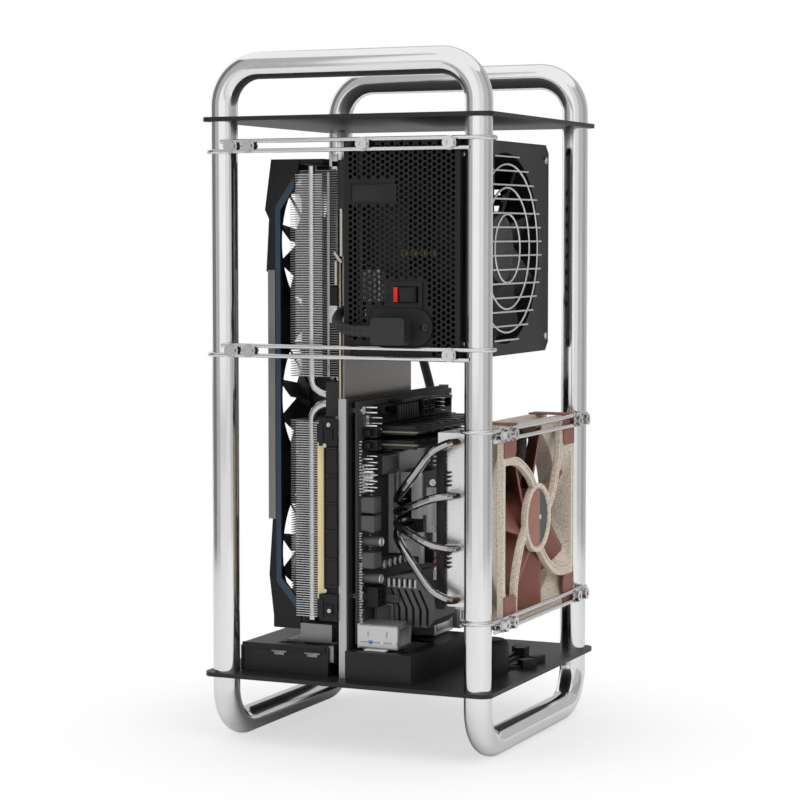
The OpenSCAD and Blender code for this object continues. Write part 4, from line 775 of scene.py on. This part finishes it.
# folded lips and bright tabs in the slots of the stand under the card
stand = start_piece("card_stand_lip")
more_block((-86.0, -91.4, 66.6), (-21.0, -90.0, 70.9))
more_block((-87.2, -91.4, 50.3), (-85.8, 48.0, 68.5))
sink((0, -1, 0), -91.4, 1.4, 0.5, (-86.5, -92, 66), (-20, -91, 72))
close_piece(stand, satin_sheet, bevel=0.6)
tabs = start_piece("card_stand_tabs")
for x in (-62.5, -36.5):
    more_block((x, -92.0, 65.4), (x + 12.0, -91.2, 66.5))
    more_block((x + 2.0, -91.8, 63.4), (x + 10.0, -91.3, 65.5))
close_piece(tabs, end_steel, bevel=0.2)
brace = start_piece("card_stand_brace")
more_block((-19.8, -88.0, 50.4), (-15.6, -60.0, 71.5))
bpy.ops.mesh.select_all(action="DESELECT")
pick((0, -1, 0), -88.0)
bpy.ops.transform.resize(value=(1.0, 1.0, 0.55), center_override=tuple(source_place(-17.0, -88.0, 71.5)))
close_piece(brace, end_steel, bevel=0.3)

# Mainboard
# Multilayer resin board, 170 mm square, on bright metal posts before a light grey sheet tray, with its
# sockets, memory, coils, capacitors and heat sinks, and a twin row of ports at its foot.
dark_metal = finish("dark_anodised", (0.035, 0.035, 0.036), 0.40, metal=0.6, grain=0.0006, tone=0.2)
mid_metal = finish("grey_cast", (0.105, 0.105, 0.107), 0.44, metal=0.35, grain=0.0006, tone=0.12)
pin_metal = finish("pin_plating", (0.82, 0.81, 0.78), 0.22, metal=1.0, tone=0.08)
pale_cast = finish("pale_cast", (0.68, 0.68, 0.69), 0.42, metal=0.25, tone=0.08)
tin_case = finish("tin_case", (0.60, 0.60, 0.61), 0.30, metal=0.75, grain=0.0006, tone=0.06)
# painted shade: the light grey tray sheet is coloured dark past a level across it, where it lies behind the
# board
tray_look = split_finish("tray_sheet_and_painted_shade", ((0.50, 0.49, 0.49), 0.34, 0.75),
                         ((0.012, 0.012, 0.012), 0.55, 0.0), 0, -0.0064)
wear(tray_look, "board_tray")
wear(pin_metal, "board_posts")
wear(moulded, "power_sockets", "memory_slots", "base_socket", "loose_plugs")
wear(dark_metal, "memory_sticks", "drive_cover", "cooler_base")
wear(mid_metal, "board_heat_sink", "chokes", "capacitors")
wear(pin_metal, "pin_headers")
wear(pale_cast, "cooler_mount")
wear(tin_case, "network_socket", "port_block")

# around the socket: pale cast carrier with its arms, seen between the pipes, and a dark toothed edge
carrier = start_piece("cooler_carrier")
more_block((12.5, -35.5, 180.5), (29.5, -33.5, 191.0))
more_block((21.0, -35.5, 158.0), (29.5, -33.5, 180.8))
more_block((33.0, -36.5, 148.5), (40.8, -34.5, 181.0))
sink((0, -1, 0), -36.5, 1.2, 0.6, (32, -37, 148), (41, -36, 182))
more_block((29.4, -36.0, 161.0), (33.4, -34.2, 168.0))
more_block((14.0, -35.5, 131.0), (29.6, -33.5, 142.6))
sink((0, -1, 0), -35.5, 1.4, 0.6, (13, -36, 130), (30, -35, 143))
more_block((27.0, -36.2, 126.0), (31.0, -34.2, 148.6))
close_piece(carrier, pale_cast, bevel=0.8)
toothed = start_piece("cooler_toothed_edge")
more_block((50.0, -58.2, 98.0), (56.0, -56.0, 211.5))
for z in (127, 130, 133, 136, 184.5, 187.5, 190.5, 193.5):
    more_block((55.8, -58.0, z), (59.6, -56.2, z + 1.4))
for z in range(200, 212, 3):
    more_block((44.0, -58.4, z), (50.2, -56.6, z + 1.5))
close_piece(toothed, moulded, bevel=0.25)
screw_row("carrier_screw_", 2.4, (0, -1, 0), steel, [(47.0, -57.0, 187.0), (37.5, -36.5, 152.0)])

# thin red fan wire looped beside the lower pipe, with its small bright plug
wire_points = [(39.5, -38.0, 124.0), (40.6, -42.0, 127.6), (43.2, -46.0, 131.4), (47.0, -48.6, 133.6),
               (51.0, -49.4, 134.4), (54.4, -48.0, 134.2), (56.0, -44.0, 133.0)]
red_wire = finish("red_wire", (0.35, 0.012, 0.014), 0.40, grain=0.0004, tone=0.15)
lay_strand("fan_wire", to_row(smooth_route(wire_points, 6)), red_wire, 0.0006, 3)
shiny = start_piece("fan_wire_plug")
more_block((44.0, -50.0, 117.0), (50.0, -45.0, 124.0))
sink((0, -1, 0), -50.0, 1.0, 0.8)
more_block((45.0, -51.0, 124.0), (49.0, -47.0, 127.0))
close_piece(shiny, steel, bevel=0.6)

# memory: bare printed edges with tinned contacts above the two dark sockets, and the sockets' latches
stick_resin = board_finish("memory_resin", (0.012, 0.014, 0.010), (0.018, 0.020, 0.014), (0.30, 0.29, 0.26),
                           (0.20, 0.19, 0.11), 1, -0.0617)
sticks = start_piece("memory_boards")
for z in (212.6, 221.6):
    more_block((9.8, -66.5, z), (39.0, 70.0, z + 1.2))
    for place_y in range(-54, 56, 22):
        more_block((16.0, place_y, z + 1.1), (32.0, place_y + 14, z + 2.1))
close_piece(sticks, stick_resin, bevel=0.15)
latches = start_piece("memory_latches")
for z in (209.6, 218.6):
    more_block((1.8, -76.0, z), (12.5, -67.2, z + 7.2))
    sink((0, -1, 0), -76.0, 1.6, 1.2, (1, -77, z - 1), (13, -75, z + 8))
    more_block((4.0, -78.0, z + 1.6), (8.0, -75.6, z + 5.4))
close_piece(latches, moulded, bevel=0.5)

# sockets along the board's top: hooded mouths in two rows, bright pins beside them
mouths = start_piece("power_socket_hoods")
for row in range(2):
    for place_y in (-2.0, 9.5):
        z = 229.0 + row * 6.4
        more_block((13.0, place_y, z), (16.2, place_y + 9.0, z + 5.4))
        sink((1, 0, 0), 16.2, 1.0, 2.4, (16, place_y - 1, z - 1), (17, place_y + 10, z + 6))
close_piece(mouths, moulded, bevel=0.35)
combs = start_piece("power_socket_comb")
for column in range(8):
    tooth_y = -44.0 + column * 4.4
    more_block((13.0, tooth_y, 229.4), (15.4, tooth_y + 3.0, 239.6))
close_piece(combs, moulded, bevel=0.3)
needles = start_piece("top_pins")
for z in (231.6, 234.6, 237.6, 240.4):
    more_block((13.5, 20.0, z), (23.0, 20.7, z + 0.7))
for z in (236.0, 239.6, 226.8):
    more_block((5.6, -80.4, z), (14.6, -79.4, z + 0.9))
pin_step = 4.4
for row in range(6):
    pin_z = 181.5 + row * pin_step
    more_block((3.0, -80.6, pin_z), (11.5, -79.6, pin_z + 0.8))
    more_block((5.0, -77.6, pin_z + 1.9), (13.5, -76.8, pin_z + 2.6))
close_piece(needles, pin_metal, bevel=0.1)

# coils and capacitors: pressed grooves on the square coils, crimped bright ends on the round cans
coils = start_piece("coil_faces")
for z in (127.0, 153.0, 166.0):
    more_block((1.9, -80.7, z + 0.4), (12.4, -79.8, z + 10.6))
    sink((0, -1, 0), -80.7, 0.8, 0.25, (1, -81, z), (13, -80, z + 11))
    more_block((12.3, -78.8, z + 0.8), (13.2, -70.6, z + 10.2))
    more_block((13.0, -73.6, z + 6.2), (13.5, -72.2, z + 9.2))
close_piece(coils, mid_metal, bevel=0.35)
crimps = start_piece("capacitor_ends")
for z in (145.5, 119.5):
    more_disc((15.0, -74.5, z), 3.3, 1.2, "X", 24)
    pick((1, 0, 0), 15.6)
    bpy.ops.mesh.inset(thickness=0.0005, depth=0)
    bpy.ops.mesh.inset(thickness=0.0003, depth=-0.0004)
for number in range(5):
    more_disc((11.2, -60 + number * 9, 127.7), 2.9, 1.0, "X", 20)
    pick((1, 0, 0), 11.7)
    bpy.ops.mesh.inset(thickness=0.0006, depth=-0.0003)
close_piece(crimps, tin_case, bevel=0.2)

# small surface parts in rows on the board: resistors with tinned ends, and flat black chips
# each row by its place across and up the board, its count and its step
grit_rows = ((-82.4, 86.0, 24, 1.9), (-80.6, 88.5, 20, 2.1), (-82.2, 134.0, 10, 1.9), (-82.0, 178.0, 18, 2.2),
             (-66.0, 132.0, 12, 2.0), (-64.0, 150.0, 14, 2.4), (-62.0, 186.0, 9, 2.2))
board_face_x = 1.6
grit = start_piece("board_small_parts")
for column, (y0, z0, count, step) in enumerate(grit_rows):
    for row in range(count):
        part_z, part_top = z0 + row * step, 2.5 + (row * 7 + column) % 3 * 0.4
        more_block((board_face_x, y0, part_z), (part_top, y0 + 1.6, part_z + 0.9))
close_piece(grit, pale_cast, bevel=0.1, steps=1)
# each chip by its place, width and height, with the rows of its legs above and below it
chips = start_piece("board_chips")
for y, z, w, h in ((-67.0, 182.0, 9.0, 9.0), (-66.0, 104.0, 7.0, 9.0), (-78.0, 107.0, 6.0, 7.0),
                   (50.0, 190.0, 12.0, 12.0), (58.0, 100.0, 10.0, 10.0), (60.0, 150.0, 14.0, 14.0),
                   (-66.0, 160.0, 6.0, 8.0)):
    more_block((board_face_x, y, z), (3.0, y + w, z + h))
    more_block((board_face_x, y + 1.0, z - 0.7), (2.0, y + w - 1.0, z + h + 0.7))
close_piece(chips, moulded, bevel=0.2)
plateau = start_piece("drive_shield")
more_block((10.4, -63.0, 192.0), (12.4, -37.0, 205.0))
sink((1, 0, 0), 12.4, 2.0, 0.5)
close_piece(plateau, mid_metal, bevel=0.7)

# heat sink over the lower front: pale strips on its step, painted highlights for its lit edges, and a cable
# mouth under it
lit = start_piece("heat_sink_painted_highlights")
for row in range(6):
    lit_strip_x = 12.6 + row * 4.1
    more_block((lit_strip_x, -58.7, 111.6), (lit_strip_x + 1.7, -57.6, 117.6))
close_piece(lit, pale_cast, bevel=0.3)
ledge = start_piece("heat_sink_ledge")
more_block((2.0, -60.5, 101.0), (22.0, -58.1, 106.0))
sink((0, -1, 0), -60.5, 0.9, 0.3)
more_block((3.5, -61.0, 84.5), (18.0, -58.3, 100.0))
sink((0, -1, 0), -61.0, 1.5, 2.0, (3, -62, 84), (19, -60.9, 101))
close_piece(ledge, mid_metal, bevel=0.5)

# twin network socket: folded tin with seams, a blue light window and small white windows at its foot
seam = start_piece("network_socket_seams")
more_block((3.6, -85.5, 75.9), (32.2, -85.1, 76.3))
more_block((9.6, -85.5, 80.0), (9.9, -85.1, 84.0))
more_block((24.0, -85.5, 80.0), (24.3, -85.1, 84.0))
more_block((3.2, -85.6, 71.8), (32.4, -85.1, 72.6))
more_block((3.2, -85.6, 87.6), (32.4, -85.1, 88.3))
close_piece(seam, end_steel, bevel=0.1)
blue_light = finish("blue_window", (0.02, 0.26, 0.62), 0.35, grain=0.0004, tone=0.1)
window = start_piece("network_window_blue")
more_block((10.4, -85.7, 74.9), (13.0, -85.1, 77.3))
close_piece(window, blue_light, bevel=0.25)
windows = start_piece("network_windows_pale")
for x in (19.4, 28.6):
    more_block((x, -85.7, 75.0), (x + 2.4, -85.1, 77.0))
more_block((8.0, -88.6, 70.4), (24.5, -82.5, 71.3))
close_piece(windows, ivory, bevel=0.25)
cheek = start_piece("network_socket_cheek")
more_block((31.9, -84.8, 71.9), (32.6, -62.0, 88.2))
sink((1, 0, 0), 32.6, 2.0, 0.3)
close_piece(cheek, end_steel, bevel=0.2)
ports = start_piece("port_block_mouths")
for y0, y1, x1 in ((-17.0, 15.0, 31.8), (21.0, 61.0, 35.8)):
    more_block((3.0, y0, 71.2), (x1, y1, 72.4))
    sink((0, 0, -1), 71.2, 1.5, 0.8, (2, y0 - 1, 71), (x1 + 1, y1 + 1, 71.5))
    more_block((x1 - 0.2, y0 + 3, 74.0), (x1 + 0.5, y1 - 3, 84.0))
close_piece(ports, tin_case, bevel=0.2)

# Case fan
# Speckled beige moulded frame with red brown rubber corner pads and a red brown wheel with seven blades.
beige, beige_shader, beige_place = start_finish("speckled_beige")
specks = beige_place.noise(0.00085, 2.0).over(0.60, 0.05)
pale_specks = beige_place.noise(0.0012, 2.0).over(0.62, 0.05)
beige_drift = beige_place.noise(0.04, 2.0)
beige_base = beige_drift.mix((0.62, 0.54, 0.44), (0.70, 0.62, 0.52))
close_finish(beige_shader, beige_place, {
    "Base Color": pale_specks.mix(specks.mix(beige_base, (0.30, 0.25, 0.20)), (0.80, 0.73, 0.64)),
    "Roughness": 0.55 + (beige_drift - 0.5) * 0.1,
    "Normal": beige_place.add("ShaderNodeBump", None, {"Height": specks, "Distance": 0.00003,
                                                       "Strength": 0.4})})
brown_rubber = finish("brown_rubber", (0.235, 0.090, 0.065), 0.60, grain=0.0005, tone=0.15)
brown = finish("brown_moulded", (0.20, 0.070, 0.050), 0.45, grain=0.0006, tone=0.2)
wear(beige, "fan_frame")
wear(brown_rubber, "fan_pads")
wear(brown, "fan_rotor")
fan_middle = 158.8
ring_points = 96
quarters = (0, 90, 180, 270)


def more_ring(number, x, half, corner=None):
    """Adds one closed line of points round the fan's axis at x: a circle, or a square with round corners.
    Its points keep the ring's number, so that the rings can be joined in turn."""
    bpy.ops.mesh.select_all(action="DESELECT")
    if corner is None:
        bpy.ops.mesh.primitive_circle_add(vertices=ring_points, radius=half * 0.001, location=(0, 0, 0))
    else:
        bpy.ops.mesh.primitive_plane_add(size=half * 0.002, location=(0, 0, 0))
        bpy.ops.mesh.bevel(offset=corner * 0.001, segments=ring_points // 4 - 1, affect="VERTICES")
        bpy.ops.mesh.delete(type="ONLY_FACE")
    mesh = bmesh.from_edit_mesh(bpy.context.edit_object.data)
    ring = mesh.verts.layers.int.get("ring") or mesh.verts.layers.int.new("ring")
    for point in mesh.verts:
        point.select = point[ring] == 0
        if point.select:
            point[ring] = number + 1
    mesh.select_flush(True)
    bmesh.update_edit_mesh(bpy.context.edit_object.data)
    bpy.ops.transform.rotate(value=math.radians(90), orient_axis="Y", center_override=(0, 0, 0))
    bpy.ops.transform.translate(value=tuple(source_place(x, 0.0, fan_middle)))


def join_rings(first, second):
    """Faces between two rings, by number, their points matched by their angles about the fan's axis."""
    mesh = bmesh.from_edit_mesh(bpy.context.edit_object.data)
    ring = mesh.verts.layers.int["ring"]
    middle = source_place(0.0, 0.0, fan_middle)
    sides = []
    for number in (first, second):
        points = [point for point in mesh.verts if point[ring] == number + 1]
        points.sort(key=lambda p: (math.atan2(p.co.z - middle.z, p.co.y - middle.y) + 0.02) % math.tau)
        sides.append(points)
    for i in range(ring_points):
        k = (i + 1) % ring_points
        mesh.faces.new((sides[0][i], sides[0][k], sides[1][k], sides[1][i]))
    bmesh.update_edit_mesh(bpy.context.edit_object.data)


def sweep_bar(route, wide, x0, x1, turns):
    """A flat bar along a route of (y, z) places about the fan's middle, once at each of the turns."""
    for turn in turns:
        spin = math.radians(turn)
        way = [(y * math.cos(spin) - z * math.sin(spin), y * math.sin(spin) + z * math.cos(spin))
               for y, z in route]
        mesh = bmesh.from_edit_mesh(bpy.context.edit_object.data)
        rows = []
        for i, (y, z) in enumerate(way):
            before, after = way[max(i - 1, 0)], way[min(i + 1, len(way) - 1)]
            side = Vector((-(after[1] - before[1]), after[0] - before[0])).normalized() * wide / 2
            rows.append([mesh.verts.new(source_place(x, y + s * side.x, fan_middle + z + s * side.y))
                         for x, s in ((x0, -1), (x1, -1), (x1, 1), (x0, 1))])
        for a, b in zip(rows, rows[1:]):
            for k in range(4):
                mesh.faces.new((a[k], a[(k + 1) % 4], b[(k + 1) % 4], b[k]))
        mesh.faces.new(rows[0])
        mesh.faces.new(rows[-1])
        bmesh.update_edit_mesh(bpy.context.edit_object.data)


housing = start_piece("fan_housing")
bpy.context.tool_settings.mesh_select_mode = (True, False, False)
shell = ((80.0, 70.0, 4.5), (84.5, 70.0, 4.5), (84.5, 69.2, None), (92.5, 69.2, None), (100.5, 69.0, 30.0),
         (100.5, 70.0, 4.5), (105.0, 70.0, 4.5), (105.0, 66.2, 26.0), (93.5, 67.0, None), (80.0, 67.0, None))
for number, (x, half, corner) in enumerate(shell):
    more_ring(number, x, half, corner)
bpy.context.tool_settings.mesh_select_mode = (False, True, False)
for number in range(len(shell)):
    join_rings(number, (number + 1) % len(shell))
close_piece(housing, beige, replaces=("fan_frame",), smooth=40)

# four arms swing from the ring round the motor to the corners, each a flat bar with two raised edges
arm_route = [(p.x, p.y) for p in (Vector(q) for q in smooth_route(
    [(21.5, 5.0), (31.0, 15.0), (38.5, 28.0), (43.5, 41.0), (45.2, 54.0), (45.5, 66.5)], 4))]
arms = start_piece("fan_arms")
sweep_bar(arm_route, 6.0, 100.6, 103.9, quarters)
for side in (-2.35, 2.35):
    edge_route = []
    for i, here in enumerate(arm_route):
        before, after = arm_route[max(i - 1, 0)], arm_route[min(i + 1, len(arm_route) - 1)]
        across = Vector((-(after[1] - before[1]), after[0] - before[0])).normalized() * side
        edge_route.append((here[0] + across.x, here[1] + across.y))
    sweep_bar(edge_route, 1.3, 103.7, 104.9, quarters)
more_disc((102.6, 0.0, fan_middle), 24.6, 4.6, "X", 64)
pick((1, 0, 0), 104.9)
bpy.ops.mesh.inset(thickness=0.0030, depth=0)
bpy.ops.mesh.inset(thickness=0.0004, depth=-0.0022)
close_piece(arms, beige, bevel=0.35, replaces=("fan_frame",), smooth=40)

motor_brown = finish("motor_cover_brown", (0.30, 0.125, 0.09), 0.42, grain=0.0005, tone=0.10)
motor_dark = finish("motor_cover_dark", (0.035, 0.038, 0.042), 0.35, grain=0.0005, tone=0.15)
cover = start_piece("fan_motor_cover")
more_disc((103.0, 0.0, fan_middle), 20.6, 0.9, "X", 64)
pick((1, 0, 0), 103.45)
bpy.ops.mesh.inset(thickness=0.0012, depth=0.0001)
bpy.ops.mesh.select_all(action="SELECT")
bpy.ops.mesh.bisect(plane_co=tuple(source_place(103.0, 5.0, fan_middle)), plane_no=(0, 1, 0))
close_piece(cover, (motor_brown, motor_dark), bevel=0.1)
second_finish(cover, lambda at, way: at.y > 5.0)
cross_screw("fan_motor_pin", (103.5, 5.0, fan_middle), 1.6, (1, 0, 0), pale_cast)
